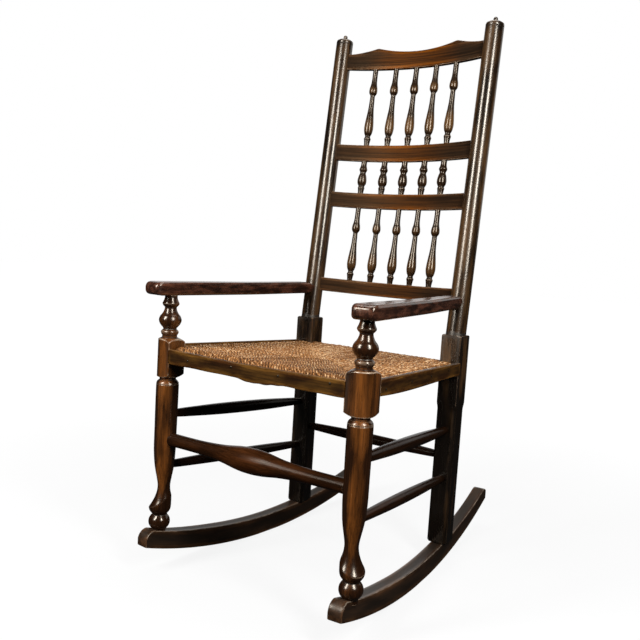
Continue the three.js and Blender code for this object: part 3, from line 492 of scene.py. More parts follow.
def curved(points, step=1.3):
    """A smooth line through rows of numbers. A row given twice running is a sharp corner."""
    points = np.array(points, float)
    runs, start = [], 0
    for i in range(len(points) - 1):
        if np.allclose(points[i], points[i + 1]):
            runs.append(points[start : i + 1])
            start = i + 1
    runs.append(points[start:])
    line = []
    for run in runs:
        padded_run = np.vstack([2 * run[0] - run[1], run, 2 * run[-1] - run[-2]])
        for p0, p1, p2, p3 in zip(padded_run, padded_run[1:], padded_run[2:], padded_run[3:]):
            gaps = [np.linalg.norm(q - p) for p, q in ((p0, p1), (p1, p2), (p2, p3))]
            steps = max(1, round(gaps[1] / step))
            t0 = 0.0
            t1, t2, t3 = np.cumsum([max(gap, 1e-6) ** 0.5 for gap in gaps])
            for i in range(steps):
                t = t1 + (t2 - t1) * i / steps
                a1 = (t1 - t) / (t1 - t0) * p0 + (t - t0) / (t1 - t0) * p1
                a2 = (t2 - t) / (t2 - t1) * p1 + (t - t1) / (t2 - t1) * p2
                a3 = (t3 - t) / (t3 - t2) * p2 + (t - t2) / (t3 - t2) * p3
                b1 = (t2 - t) / (t2 - t0) * a1 + (t - t0) / (t2 - t0) * a2
                b2 = (t3 - t) / (t3 - t1) * a2 + (t - t1) / (t3 - t1) * a3
                line.append((t2 - t) / (t2 - t1) * b1 + (t - t1) / (t2 - t1) * b2)
        line.append(run[-1])
    return np.array(line)


def least(first, second, soft):
    """The lesser of two radii, with the edge where they meet eased."""
    return -soft * np.logaddexp(-first / soft, -second / soft)


# angles round a leg, closer together at the corners of its square parts
quarter_turns = np.array([0, 8, 16, 24, 31, 36, 39.5, 42, 43.6, 45, 46.4, 48, 50.5, 54, 59, 66, 74, 82])
leg_angles = np.radians(np.concatenate([quarter_turns + 90 * q for q in range(4)]))
cosine, sine = np.cos(leg_angles), np.sin(leg_angles)


def upright_ring(foot, around, z):
    """A ring at a distance, in each direction, from an upright's axis, and its places in the wood."""
    places = np.column_stack([around * cosine, around * sine, np.broadcast_to(z, sine.shape)])
    return places + (*foot, 0), places


def off_centre(radius, shift, towards):
    """The distance from the leg's axis, in each direction, to a circle whose centre is off it."""
    return shift * towards + np.sqrt(np.maximum(radius**2 - shift**2 * (1 - towards**2), 1))


leg_wood = polished_wood(
    "leg_wood", (0.026, 0.0085, 0.0025), (0.185, 0.058, 0.01), (0.42, 0.3, 0.2),
    warmth=0.7, wear=1.3, roughness=0.22,
)
pad, shaft = curved(PAD_OUTLINE, 1.0), curved(FRONT_LEG_OUTLINE, 1.0)
turned_levels = [z for z in pad[:, 0] if z < 123]
turned_levels += [*np.arange(123, 165, 0.9), *(z for z in shaft[:, 0] if z >= 165)]
levels = [(z, float(np.interp(z, shaft[:, 0], shaft[:, 1])), False) for z in turned_levels]
block_levels = [370, 370.7, 371.5, 372.3, 373.1, 374, 375, 376, 377.5, 380, *range(390, 431, 10)]
block_levels += [435, 437.5, 439, 440.5, 442, 443, 444, 445]
levels += [(z, 0, True) for z in block_levels]
levels += [(z, radius, False) for z, radius in curved(UPPER_OUTLINE)]
for name, side in SIDES.items():
    foot = FRONT_FOOT * (side, 1)
    square = BLOCK_HALF / np.maximum(abs(cosine), abs(sine))
    square = np.where((cosine * side >= 0) & (sine <= 0), BLOCK_HALF, square)
    towards_toe = cosine * side * math.cos(TOE_TURN) - sine * math.sin(TOE_TURN)
    # painted light: each leg is lighter on the side that faces the viewpoint and darker towards its
    # edges
    outward = smoothstep(0.56 * cosine - 0.83 * sine, 0.45, 1.0)
    sections, light = [], []
    for z, radius, block in levels:
        if block:
            below = np.interp(z, [BLOCK_LOW, 373, 377, 380], [15.1, 22.5, 29.5, 40])
            above = np.interp(z, [436, 438, 442, BLOCK_TOP], [40, 29.5, 22.5, 14.2])
            around = least(square, np.full(len(square), min(below, above)), 0.45)
        else:
            around = off_centre(radius, -1.5 * (1 - smoothstep(z, 157, 239)), towards_toe)
        if z < 152:
            rim = float(np.interp(z, pad[:, 0], pad[:, 1]))
            around = least(around, off_centre(rim, TOE_SHIFT, towards_toe), 0.3)
        sections.append(upright_ring(foot, around, z))
        above_block = smoothstep(z, 440, 452)
        at_block = smoothstep(z, 368, 376)
        glow = 0.62 * smoothstep(z, 130, 190) - 0.35 - 0.5 * above_block
        glow -= 0.22 * smoothstep(z, 240, 300) - 0.25 * at_block
        mottled = 0.16 * math.sin(z / 31 + 2.0) + 0.1 * math.sin(z / 13)
        light.append(glow + ((outward - 0.85) * (1 - 0.6 * at_block) + mottled) * (1 - above_block))
    rings, grain = zip(*sections)
    skin("front_leg_" + name, rings, grain, leg_wood, light=np.array(light))

# Back posts. One length of wood each, from the rocker to the finial: square with chamfered
# corners below the seat, a plain block where the seat rails meet, then turned round and raked
# back, with a scratched line, a domed cap and a small button at the top.
POST_HALF = 21.2
POST_SHOULDER = 471.3
POST_RAKE = math.radians(6.5)
POST_NECK = 20.4
POST_OUTLINE = [
    (3, 20.2), (120, 20.05), (320, 19.55), (520, 19.1), (622.5, 18.9), (623.6, 18.85), (624.4, 18.2),
    (625.2, 18.85), (629.5, 18.8), (631.8, 18.1), (634.2, 14.5), (635.6, 9), (636, 4.2), (636.1, 3),
    (636.1, 3), (637.2, 3.4), (639, 4.3), (641.5, 4.7), (644, 4.1), (645.7, 2.4), (646.3, 0.8),
]


def in_back(x, behind, rise):
    """A place in the raked plane of the back: across, behind it, and up the post."""
    y = REAR_FOOT[1] + np.asarray(behind) * math.cos(POST_RAKE) + np.asarray(rise) * math.sin(POST_RAKE)
    z = POST_SHOULDER + np.asarray(rise) * math.cos(POST_RAKE) - np.asarray(behind) * math.sin(POST_RAKE)
    return np.stack(np.broadcast_arrays(x, y, z), -1)


RUBBED = (0.30, 0.20, 0.13)
post_wood = polished_wood(
    "post_wood", (0.006, 0.003, 0.0016), (0.115, 0.054, 0.017), RUBBED, patch=(16.0, 130.0), warmth=0.7,
    wear=0.35, roughness=0.25, shine=1.0, tint=(1, 0.92, 0.8), relief=0.1,
)
flat_sides = POST_HALF / np.maximum(abs(cosine), abs(sine))
heights = [*np.linspace(105, 316, 30), *np.linspace(318, 340, 12), *np.linspace(348, 460, 15)]
heights += [464, 466, 467.5, 469, 470, 470.8, 471.3]


def chamfered(chamfer):
    return least(flat_sides, (2 * POST_HALF - chamfer) / (abs(cosine) + abs(sine)), 0.35)


for name, side in SIDES.items():
    foot = REAR_FOOT * (side, 1)
    sections = []
    for rise, inset in ((0.4, 9), (0.4, 2.5), (1.2, 0.9), (3, 0)):
        around = chamfered(6) - inset
        sections.append(upright_ring(foot, around, rocker_top(leg_line + around * sine) + rise))
    for z in heights:
        around = chamfered(6 - 5.4 * smoothstep(z, 318, 336))
        limit = np.interp(z, [466, 468.5, 470.3, POST_SHOULDER], [33, 30, 28.6, 26])
        around = least(around, np.full(len(around), limit), 0.35)
        sections.append(upright_ring(foot, around, z))
    for reach in (0.5, 0.0):
        around = POST_NECK + (np.minimum(around, 26) - POST_NECK) * reach
        ring, places = upright_ring(foot, around, POST_SHOULDER)
        sections.append((ring + (0, 0, 0.1), places))
    for rise, radius in curved(POST_OUTLINE, 4):
        around = np.full(len(sine), radius)
        places = upright_ring(foot, around, POST_SHOULDER + rise)[1]
        sections.append((in_back(foot[0] + radius * cosine, radius * sine, rise), places))
    rings, grain = np.array(list(zip(*sections)))
    height = grain[:, :, 2]
    # painted shade: below the seat each post is darker, and darker still on its inner faces
    shaded_inner_faces = smoothstep(-grain[:, :, 0] * side, -16, -6)
    light = 0.12 * smoothstep(height, 330, 410) + 0.02 * smoothstep(height, 465, 480) - 0.12
    light -= 0.25 * smoothstep(height, 1082, 1094)
    light -= 0.25 * (1 + shaded_inner_faces) * (1 - smoothstep(height, 330, 400))
    skin("back_post_" + name, rings, grain, post_wood, light=light)

# Stretchers. The front one is turned with a swell in its middle. The five others are plain
# barrels, and all of them taper into sockets in the legs and posts.
FRONT_STRETCHER_HEIGHT = 253.5
FRONT_STRETCHER_OUTLINE = [
    (-195, 12.6), (-165, 12.2), (-124, 12.4), (-90, 13.8), (-60, 16.4), (-30, 20.8), (-12, 22.3),
    (0, 22.5), (12, 22.3), (30, 20.8), (60, 16.4), (90, 13.8), (124, 12.4), (165, 12.2), (195, 12.6),
]
BARREL_SHARES = [
    (0, 0), (0.06, 0.28), (0.14, 0.5), (0.3, 0.86), (0.5, 1), (0.7, 0.86), (0.86, 0.5), (0.94, 0.28),
    (1, 0),
]


def turned(node, first, last, outline, material, sides=32, light=None):
    """A round piece turned between two points, from rows of distance from the first and radius."""
    first, last = Vector(first), Vector(last)
    turn = (last - first).to_track_quat("Z", "Y").to_matrix()
    angles = np.linspace(0, 2 * math.pi, sides, endpoint=False)
    along, radius = np.asarray(outline).T
    across = (np.outer(radius, np.cos(angles)), np.outer(radius, np.sin(angles)))
    local = np.stack([*across, np.repeat(along[:, None], sides, 1)], -1)
    rings = local @ np.array(turn).T + np.array(first)
    if light is not None:
        light = np.repeat(light(along)[:, None], sides, 1)
    skin(node, rings, local, material, light)


stretcher_wood = polished_wood(
    "stretcher_wood", (0.016, 0.006, 0.0022), (0.085, 0.025, 0.006), RUBBED,
    warmth=0.4, roughness=0.25, shine=0.15,
)
turned(
    "front_stretcher",
    (-FRONT_FOOT[0], FRONT_FOOT[1], FRONT_STRETCHER_HEIGHT),
    (FRONT_FOOT[0], FRONT_FOOT[1], FRONT_STRETCHER_HEIGHT),
    [(x + FRONT_FOOT[0], r) for x, r in curved(FRONT_STRETCHER_OUTLINE, 3)],
    stretcher_wood,
    sides=48,
    light=lambda along: 0.3 * (1 - smoothstep(abs(along - FRONT_FOOT[0]), 20, 90)),
)
BARRELS = {
    "back_stretcher": ((-REAR_FOOT[0], REAR_FOOT[1], 221), (REAR_FOOT[0], REAR_FOOT[1], 221), 11.2)
}
for name, side in SIDES.items():
    front, rear = FRONT_FOOT * (side, 1), REAR_FOOT * (side, 1)
    BARRELS["upper_side_stretcher_" + name] = ((*front, 300), (*rear, 277), 12)
    BARRELS["lower_side_stretcher_" + name] = ((*front, 201), (*rear, 177), 10.8)
END_INSETS = (16, 18)
END_RADIUS = 7.2
shares = np.array(BARREL_SHARES)
for node, (first, last, radius) in BARRELS.items():
    length = (Vector(last) - Vector(first)).length
    along = END_INSETS[0] + (length - sum(END_INSETS)) * shares[:, 0]
    rows = np.column_stack([along, END_RADIUS + (radius - END_RADIUS) * shares[:, 1]])
    turned(node, first, last, curved(rows, 6), stretcher_wood, light=lambda along: along * 0 - 0.25)

# Back rails. Four boards bowed away from the sitter and let into the posts. The crest rises to
# two soft peaks and dips in the middle. Their middles are painted lighter amber, a painted sheen.
RAIL_HALF_SPAN = 161.1
RAIL_THICKNESS = 11
RAIL_BOW = 25
RAIL_ARRIS = 1.6
# each rail: its rise up the post, its height, and how strongly a painted sheen lightens its middle to
# amber
RAILS = {
    "lower_cross_rail": (62, 30, 0.45),
    "middle_cross_rail": (254.1, 33.4, 0.6),
    "upper_cross_rail": (359.2, 36, 0.75),
    "crest_rail": (565.45, 34, 0.9),
}


def bow_at(x):
    return RAIL_BOW * (1 - (x / RAIL_HALF_SPAN) ** 2)


def crest_edge(x):
    """The crest's top, above its ends: it climbs to a soft peak on each side and dips between."""
    share = abs(x) / RAIL_HALF_SPAN
    inside = 3 + 10.5 * (share / 0.59) ** 2
    outside = 13.5 * max(0.0, (1 - share) / 0.41) ** 1.5
    return float(least(inside, outside, 0.5)) if share < 1 else 0.0


rail_wood = polished_wood(
    "rail_wood", (0.045, 0.024, 0.012), (0.155, 0.042, 0.003), RUBBED, fibre=(3, 150), warmth=0.2,
    roughness=0.24, shine=0.08, tint=(1, 0.6, 0.3), lines=0.6,
)
for node, (rise, height, glow) in RAILS.items():
    rings, grain, light = [], [], []
    for x in np.linspace(-RAIL_HALF_SPAN - 7, RAIL_HALF_SPAN + 7, 121):
        top = rise + height + (crest_edge(x) if node == "crest_rail" else 0)
        section = softened(RAIL_THICKNESS / 2, rise, top, RAIL_ARRIS, 3, 6)
        rings.append(in_back(x, bow_at(x) - section[:, 0], section[:, 1]))
        grain.append(np.column_stack([section, np.full(len(section), x)]))
        light.append(np.full(len(section), glow * (1 - smoothstep(abs(x + 5), 35, 125))))
    skin(node, rings, grain, rail_wood, np.array(light))

# Spindles. Fifteen, in three rows of five between the rails, each with a cup at its foot. The
# two outer rows have a long vase and a ring; the short middle row has a ball and a disc.
LONG_SPINDLE = [
    (0, 5.75), (4, 6), (10, 6.8), (15.1, 7.8), (15.1, 7.8), (16.4, 7.3), (18.5, 6.2), (20.7, 5.75),
    (22.5, 6.3), (26.2, 8.0), (30.2, 9.1), (38.3, 10.15), (46.3, 9.9), (54.4, 9.2), (60.4, 8.5),
    (65.5, 8.0), (73.5, 7.0), (83.6, 6.15), (90.6, 5.75), (100.7, 5.5), (109.7, 5.15), (112.5, 5.3),
    (112.5, 5.3), (114.3, 6.5), (118.2, 8.6), (123.8, 9.1), (130.9, 8.2), (134.9, 7.2), (138.9, 6.6),
    (143, 6.15), (151, 5.8), (170.3, 5.75),
]
SHORT_SPINDLE = [
    (0, 6), (5, 6.4), (13.1, 7.6), (13.1, 7.6), (14.6, 6.8), (16.2, 6.5), (17.5, 7), (20.2, 8.6),
    (24, 9.8), (28.2, 10.15), (34.3, 9.5), (37.3, 8.9), (40.3, 8.2), (43.5, 6.9), (45.8, 6.5),
    (45.8, 6.5), (48.5, 7), (51, 8.2), (52.9, 8.85), (55, 8.6), (57.4, 7.7), (60.4, 6.9), (63.5, 6.4),
    (71.7, 6.35),
]
ROWS = {
    "lower_spindle_": (92, 254.1, LONG_SPINDLE, 0.65),
    "middle_spindle_": (287.5, 359.2, SHORT_SPINDLE, 0.3),
    "upper_spindle_": (395.2, 565.45, LONG_SPINDLE, 0.85),
}
SPINDLE_APART = 48.9
spindle_wood = polished_wood(
    "spindle_wood", (0.018, 0.008, 0.003), (0.13, 0.056, 0.013), RUBBED, warmth=0.4, wear=0.5,
    roughness=0.25, shine=0.75, tint=(1, 0.86, 0.68), lines=0.1, relief=0.0,
)
for row, (low, high, outline, rubbed) in ROWS.items():
    line = curved(outline, 1.1)
    line[:, 0] *= (high - low) / outline[-1][0]
    # the ends run a little way into the rails, and taper there
    line = np.vstack([(-3, 4.5), (-0.8, 4.7), line, (high - low + 0.8, 4.7), (high - low + 3, 4.5)])

    # partly rubbed wear and partly painted highlight: the fat parts of each spindle are lighter and
    # golden, most in the upper row and least in the middle row
    def bulb_light(along):
        return rubbed * smoothstep(np.interp(along, line[:, 0], line[:, 1]), 6.6, 10.2) - 0.35

    for number in range(5):
        x = (number - 2) * SPINDLE_APART
        foot, head = in_back(x, bow_at(x), low), in_back(x, bow_at(x), high)
        turned(f"{row}{number + 1}", foot, head, line, spindle_wood, 28, bulb_light)

# Arms. Flat boards, wider in front, pinned on the front legs and tenoned into the posts, with
# a bull nose. Hands have rubbed the nose and the top edges to a reddish brown.
ARM_MIDDLE = 536.5
ARM_THICKNESS = 25
ARM_HALF_WIDTHS = (22, 14)
ARM_FRONT = 225.5
ARM_OVERHANG = 40
ARM_TENON = 14
ARM_NOSE = 15
POST_LEAN = 7.43
arm_wood = polished_wood(
    "arm_wood", (0.018, 0.007, 0.0045), (0.12, 0.042, 0.022), (0.46, 0.28, 0.17),
    patch=(9.0, 34.0), warmth=0.75, wear=1.5, roughness=0.22,
)
for name, side in SIDES.items():
    front = np.array((side * ARM_FRONT, FRONT_FOOT[1] - ARM_OVERHANG))
    rear = np.array((side * REAR_FOOT[0], REAR_FOOT[1] + POST_LEAN - ARM_TENON))
    length = np.linalg.norm(rear - front)
    ahead = (rear - front) / length
    line = (front, ahead, np.array((-ahead[1], ahead[0])))
    distances = [*(ARM_NOSE * (1 - np.cos(np.linspace(0, math.pi / 2, 10))))]
    distances += [*np.linspace(ARM_NOSE, length - 22, 60)[1:], *np.linspace(length - 22, length, 9)[1:]]
    stations, light = [], []
    for distance in distances:
        nose = math.sqrt(max(0.0, 1 - max(0.0, 1 - distance / ARM_NOSE) ** 2))
        end = smoothstep(distance, length - 26, length)
        half_width = ARM_HALF_WIDTHS[0] + (ARM_HALF_WIDTHS[1] - ARM_HALF_WIDTHS[0]) * distance / length
        half_width *= (0.62 + 0.38 * nose) * (1 - 0.14 * end)
        half_height = ARM_THICKNESS / 2 * (0.34 + 0.66 * nose) * (1 - 0.34 * end)
        middle = ARM_MIDDLE + 2 * smoothstep(distance, length / 2, length)
        section = softened(half_width, middle - half_height, middle + half_height, 5.5, 6, 6)
        stations.append(board_ring(line, distance, section, middle))
        light.append(np.full(len(section), 0.15 * (1 - smoothstep(distance, 30, 140))))
    rings, grain = zip(*stations)
    skin("arm_" + name, rings, grain, arm_wood, light=np.array(light))

# Edging strips. Thin boards nailed over the edges of the rush between the legs. The side ones
# are cut to a belly below, and the lower edge of the front one is uneven with wear.
STRIP_THICKNESS = 8
STRIP_ARRIS = 2.0
STRIP_TOP = 427
FRONT_STRIP_DEPTH = 28.5
SIDE_STRIP_DEPTH = 27
SEAT_FRONT = 431
SEAT_FALL = 13 / 408
strip_wood = polished_wood(
    "strip_wood", (0.058, 0.021, 0.006), (0.2, 0.088, 0.016), (0.28, 0.19, 0.11), patch=(16.0, 60.0),
    warmth=0.8, wear=0.25, roughness=0.24, shine=0.1, tint=(1, 0.8, 0.5),
)
strip_middle = BLOCK_HALF - STRIP_THICKNESS / 2
half_length = FRONT_FOOT[0] - BLOCK_HALF + 1.5
line = (np.array((0, FRONT_FOOT[1] - strip_middle)), np.array((1, 0)), np.array((0, 1)))
stations = []
for x in np.linspace(-half_length, half_length, 90):
    sag = 3 * (1 - (x / half_length) ** 2)
    wave = 0.8 * math.sin(x / 31) + 0.5 * math.sin(x / 11 + 1)
    belly = 4.6 * smoothstep(x, -32, -4) * (1 - smoothstep(x, 12, 84))
    belly += 0.5 * math.sin(x / 4.3) * smoothstep(x, -10, 10) * (1 - smoothstep(x, 60, 80))
    low = STRIP_TOP - FRONT_STRIP_DEPTH + wave * 0.5 - belly
    section = softened(STRIP_THICKNESS / 2, low, STRIP_TOP - sag + 0.3 * wave, STRIP_ARRIS, 3, 5)
    stations.append(board_ring(line, x, section))
rings, grain = zip(*stations)
skin("edging_strip_front", rings, grain, strip_wood)
for name, side in SIDES.items():
    foot, ahead, across = leg_line_frame(side)
    line = (foot + across * strip_middle, ahead, across)
    fall = SEAT_FALL * ahead[1]
    stations = []
    for distance in np.linspace(19, leg_line - 19, 80):
        share = distance / leg_line
        top = SEAT_FRONT - fall * distance
        belly = 3 * (1 - share) ** 2 * share * 10 - 3 * (1 - share) * share**2 * 2.5
        low = top - SIDE_STRIP_DEPTH - belly
        section = softened(STRIP_THICKNESS / 2, low, top - 0.4, STRIP_ARRIS, 3, 5)
        stations.append(board_ring(line, distance, section))
    rings, grain = zip(*stations)
    skin("edging_strip_" + name, rings, grain, strip_wood)

# Nails. Small iron nails hold the strips, four through each, driven until their round heads lie
# on the wood. The heads have gone brown, with a little shine left.
NAIL_DOME = [(-1.5, 1.2), (0, 2.1), (0.5, 2.0), (0.9, 1.4), (1.1, 0.5)]
FRONT_NAILS = ((-144, 411.4), (-41, 415), (61, 414.6), (164, 417.9))
SIDE_NAILS = ((42, 411), (147.5, 409.9), (238, 409.5), (327.2, 409.2))
nail_iron, tree = new_material("worn_nail")
surface = {"Base Color": (0.07, 0.055, 0.038, 1), "Metallic": 1.0, "Roughness": 0.5}
feed(tree, tree.nodes["Principled BSDF"], surface)
for number, (x, z) in enumerate(FRONT_NAILS):
    y = FRONT_FOOT[1] - BLOCK_HALF
    turned(f"nail_front_{number + 1}", (x, y, z), (x, y - 1, z), NAIL_DOME, nail_iron, sides=12)
for name, side in SIDES.items():
    foot, ahead, across = leg_line_frame(side)
    for number, (distance, z) in enumerate(SIDE_NAILS):
        place = foot + ahead * distance + across * BLOCK_HALF
        node = f"nail_{name}_{number + 1}"
        turned(node, (*place, z), (*(place + across), z), NAIL_DOME, nail_iron, sides=12)

# Seat rails. Four plain bars tenoned into the legs and posts, with the rush wound over them. It
# hides them, so they stay as the solids are, in the wood of the stretchers.
for node in ("seat_rail_left", "seat_rail_right", "seat_rail_front", "seat_rail_back"):
    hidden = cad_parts[node]
    hidden.data.materials.clear()
    hidden.data.materials.append(stretcher_wood)

# Rush seat. Cords twisted from rushes are wound over the four seat rails, one over the next, so
# that each cord runs square to its rail and dives where it meets its neighbour on the diagonal.
# The middle of the seat has sunk, and its front is darker.
RUSH_REACH = 11.84
RUSH_HALF = 18
RUSH_ROLL = 17
SEAT_DISH = {1: 9, -1: 7}
CORD_RADIUS = 2.9
CORD_BEYOND = 3.5
CORD_DIVE = 5.5
CORD_STEPS = {1: 2.4, -1: 8}
STRAND_PITCH = 8.4
FRONT_CORDS = 34
REAR_CORDS = 28
RUSH_ENDS = ((0.06, 0.022, 0.006, 1), (0.80, 0.55, 0.31, 1))
RUSH_BETWEEN = {0.34: (0.19, 0.074, 0.02, 1), 0.70: (0.42, 0.183, 0.058, 1)}
seat_front_y = FRONT_FOOT[1] - RUSH_REACH
seat_rear_y = REAR_FOOT[1] + RUSH_REACH
front_corner = np.array((FRONT_FOOT[0] - BLOCK_HALF - 0.6, FRONT_FOOT[1] + BLOCK_HALF + 0.6))
rear_corner = np.array((REAR_FOOT[0] - POST_HALF - 0.6, REAR_FOOT[1] - POST_HALF - 0.6))
share = front_corner[0] / (front_corner[0] + rear_corner[0])
seat_middle_y = front_corner[1] + (rear_corner[1] - front_corner[1]) * share
chance = np.random.default_rng(11)


def seat_top_at(y):
    return SEAT_FRONT - SEAT_FALL * (y - FRONT_FOOT[1])


def seat_half_width(y):
    share = (y - FRONT_FOOT[1]) / (REAR_FOOT[1] - FRONT_FOOT[1])
    return FRONT_FOOT[0] + (REAR_FOOT[0] - FRONT_FOOT[0]) * share + RUSH_REACH


def rush_height(x, y, sign, sunk):
    """The upper (sign 1) or lower (sign -1) face of the seat, as far below its skin as sunk."""
    half_width = seat_half_width(y)
    from_side = half_width - abs(x)
    from_end = min(y - seat_front_y, seat_rear_y - y)
    inner = 2 * min(from_side / half_width / 2, from_end / (seat_rear_y - seat_front_y))
    inner = min(1.0, max(0.0, inner))
    dish = SEAT_DISH[sign] * math.sin(inner * math.pi / 2)
    middle = seat_top_at(y) - RUSH_HALF
    return middle + sign * (RUSH_HALF - sunk - dish)


def wound_cord(rail_place, inner_place):
    """The line of one cord: out of the diagonal, over the seat to its rail, round it, and back."""
    rail_place, inner_place = np.array(rail_place), np.array(inner_place)
    run = np.linalg.norm(inner_place - rail_place)
    far = run + CORD_BEYOND
    inward = (inner_place - rail_place) / run
    sideways = np.array((-inward[1], inward[0]))
    lean = chance.normal(0, 0.35, 6)
    level = chance.normal(0, 0.35)
    line = []

    def put(distance, z, bend=0.0):
        line.append((*(rail_place + inward * distance + sideways * bend), z))

    def laid(distance, sign):
        """Its height on one face of the seat, diving at the diagonal."""
        dive = CORD_DIVE * float(smoothstep(distance, run - 5, far))
        return rush_height(*(rail_place + inward * distance), sign, CORD_RADIUS) - sign * dive

    tops = max(2, round((far - RUSH_ROLL) / CORD_STEPS[1]))
    for i in range(tops):
        distance = far + (RUSH_ROLL - far) * i / tops
        z = laid(distance, 1) + level + 0.35 * math.sin(distance / 17 + lean[0] * 9)
        put(distance, z, lean[1] * math.sin(distance / 23 + lean[2] * 9))
    rolled = rail_place + inward * RUSH_ROLL
    upper, lower = (rush_height(*rolled, sign, CORD_RADIUS) for sign in (1, -1))
    for turn in np.radians(np.linspace(90, -90, 13)):
        distance = RUSH_ROLL - (RUSH_ROLL - CORD_RADIUS) * math.cos(turn)
        put(distance, (upper + lower) / 2 + ((upper - lower) / 2 + level) * math.sin(turn))
    unders = max(2, round((far - RUSH_ROLL) / CORD_STEPS[-1]))
    for i in range(1, unders + 1):
        distance = RUSH_ROLL + (far - RUSH_ROLL) * i / unders
        put(distance, laid(distance, -1), lean[3] * math.sin(distance / 20))
    return np.array(line)


def seat_cords():
    cords = []
    steps = [(FRONT_CORDS, front_corner, seat_front_y), (REAR_CORDS, rear_corner, seat_rear_y)]
    for count, corner, rim in steps:
        for side in (-1, 1):
            for i in range(count):
                share = (i + 0.5) / count
                x = side * corner[0] * share
                cords.append(((x, rim), (x, seat_middle_y + (corner[1] - seat_middle_y) * share)))
                share = (i + 1) / count - 0.02
                y = seat_middle_y + (corner[1] - seat_middle_y) * share
                cords.append(((side * seat_half_width(y), y), (side * corner[0] * share, y)))
    return cords


def cord_skin(lines, sides=9):
    """Two-stranded skins over the lines of the cords: how light each point is, and its place."""
    corners, faces, tone, along = [], [], [], []
    angles = np.linspace(0, 2 * math.pi, sides, endpoint=False)
    for line in lines:
        ahead = np.gradient(line, axis=0)
        ahead /= np.linalg.norm(ahead, axis=1)[:, None]
        across = np.cross(line[0] - line[-1], line[len(line) // 2] - line[0])
        across /= np.linalg.norm(across)
        outward = np.cross(ahead, across)
        outward /= np.linalg.norm(outward, axis=1)[:, None]
        length = np.concatenate([[0], np.cumsum(np.linalg.norm(np.diff(line, axis=0), axis=1))])
        over_rail = int(np.argmax(np.linalg.norm((line - line[0])[:, :2], axis=1)))
        inward = (line[0] - line[over_rail])[:2]
        hand = np.sign(inward[1] - inward[0])
        thick = CORD_RADIUS * chance.normal(1.0, 0.05)
        slack = 0.3 if abs(inward[0]) > abs(inward[1]) else 0.9
        twist = chance.normal(0, slack) + hand * (length[over_rail] - length) * math.pi / STRAND_PITCH
        lobes = 1 + 0.1 * np.cos(2 * (angles[None] - twist[:, None]))
        radius = thick * lobes * (1 + 0.05 * np.sin(length / 13 + thick * 40))[:, None]
        ring = line[:, None] + across[None, None] * (radius * np.cos(angles))[..., None]
        ring = ring + outward[:, None] * (radius * 0.92 * np.sin(angles))[..., None]
        faces.extend(ring_faces(len(line), sides, len(corners)))
        corners.extend(ring.reshape(-1, 3).tolist())
        shaded = 0.45 * (1 - np.maximum(0, np.sin(angles)))
        behind = line[:, 1] - seat_middle_y
        fan = np.exp(-(((line[:, 0] + 0.72 * behind) / 36) ** 2))
        paler = 0.1 * smoothstep(abs(line[:, 0]), 90, 190)
        paler -= 0.5 * (1 - smoothstep(line[:, 1], -335, -255))
        paler -= 0.6 * (1 - smoothstep(line[:, 1], -350, -322))
        paler += 0.6 * fan * smoothstep(behind, -30, 10) * (1 - smoothstep(behind, 110, 180))
        tone.extend((chance.uniform(0, 1) - shaded[None] + paler[:, None]).ravel().tolist())
        seed = chance.uniform(0, 40)
        around = (angles[None] - twist[:, None]) / math.pi * STRAND_PITCH
        places = (around, np.full_like(around, seed * 50), np.repeat(length[:, None], sides, 1))
        along.extend(np.stack(places, -1).reshape(-1, 3).tolist())
    return np.array(corners) * MM, np.array(along), faces, np.array(tone)


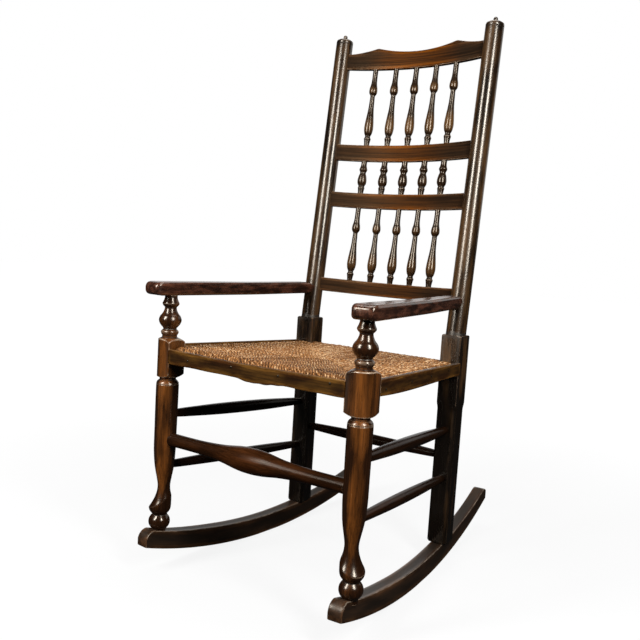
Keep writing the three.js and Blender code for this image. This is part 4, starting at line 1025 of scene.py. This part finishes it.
def rush_material():
    """Aged rush: its strands show as fine lines over clouds of brown and gold."""
    made, tree = new_material("golden_rush")
    grain = new_node(tree, "Attribute", attribute_name="grain").outputs["Vector"]
    tone = new_node(tree, "Attribute", attribute_name="light").outputs["Fac"]
    inputs = {"Grain": grain, "Fibre Width": 2.0, "Fibre Length": 30.0}
    inputs.update({"Cloud Width": 2.7, "Cloud Length": 9.0})
    figure = new_node(tree, "Group", inputs, node_tree=FIGURE).outputs
    clouds = ranged(tree, figure["Clouds"], 0.4, 0.64, 0.0, 0.57, "LINEAR")
    round_cord = new_node(tree, "SeparateXYZ", {0: grain}).outputs["X"]
    strand = maths(tree, "MULTIPLY", round_cord, 2 * math.pi / (STRAND_PITCH * MM))
    strand = maths(tree, "SINE", strand, 0)
    flecks = maths(tree, "ADD", maths(tree, "MULTIPLY", figure["Fibres"], 0.25), clouds)
    flecks = maths(tree, "ADD", flecks, maths(tree, "MULTIPLY", strand, 0.23))
    inputs = {0: tone, 1: 0.3, 2: flecks}
    shade = new_node(tree, "Math", inputs, operation="MULTIPLY_ADD").outputs[0]
    ramp = new_node(tree, "ValToRGB", {"Fac": shade})
    for end, colour in zip(ramp.color_ramp.elements, RUSH_ENDS):
        end.color = colour
    for position, colour in RUSH_BETWEEN.items():
        ramp.color_ramp.elements.new(position).color = colour
    relief = maths(tree, "ADD", figure["Fibres"], strand)
    bump = new_node(tree, "Bump", {"Strength": 0.6, "Distance": 0.0006, "Height": relief})
    surface = {"Base Color": ramp.outputs["Color"], "Roughness": 0.5, "Normal": bump.outputs["Normal"]}
    surface.update({"Specular IOR Level": 0.25, "Specular Tint": (1, 0.85, 0.6, 1)})
    feed(tree, tree.nodes["Principled BSDF"], surface)
    return made


golden_rush = rush_material()
corners, along, faces, tone = cord_skin([wound_cord(*ends) for ends in seat_cords()])
piece("rush_seat", corners, along, faces, golden_rush, tone, smooth=80)

# Stuffing. Broken rush is packed between the two layers as the seat is wound. It shows only as
# dark straw in the gaps between the cords.
STUFFING_INSET = 8
rings = []
for y in np.linspace(seat_front_y + STUFFING_INSET, seat_rear_y - STUFFING_INSET, 40):
    half_width = seat_half_width(y) - STUFFING_INSET
    if y < front_corner[1] + 1:
        half_width = front_corner[0] - 1
    if y > rear_corner[1] - 1:
        half_width = rear_corner[0] - 1
    across = np.linspace(half_width, -half_width, 31)
    middle = seat_top_at(y) - RUSH_HALF
    ring = []
    for sign, xs in ((1, across), (-1, -across)):
        for x in xs:
            from_rim = min(half_width - abs(x), min(y - seat_front_y, seat_rear_y - y) - STUFFING_INSET)
            share = min(1.0, max(0.0, from_rim / 12))
            lift = max(0.02, math.sqrt(1 - (1 - share) ** 2))
            ring.append((x, y, middle + (rush_height(x, y, sign, CORD_RADIUS * 1.9) - middle) * lift))
    rings.append(ring)
skin("rush_stuffing", rings, rings, golden_rush)
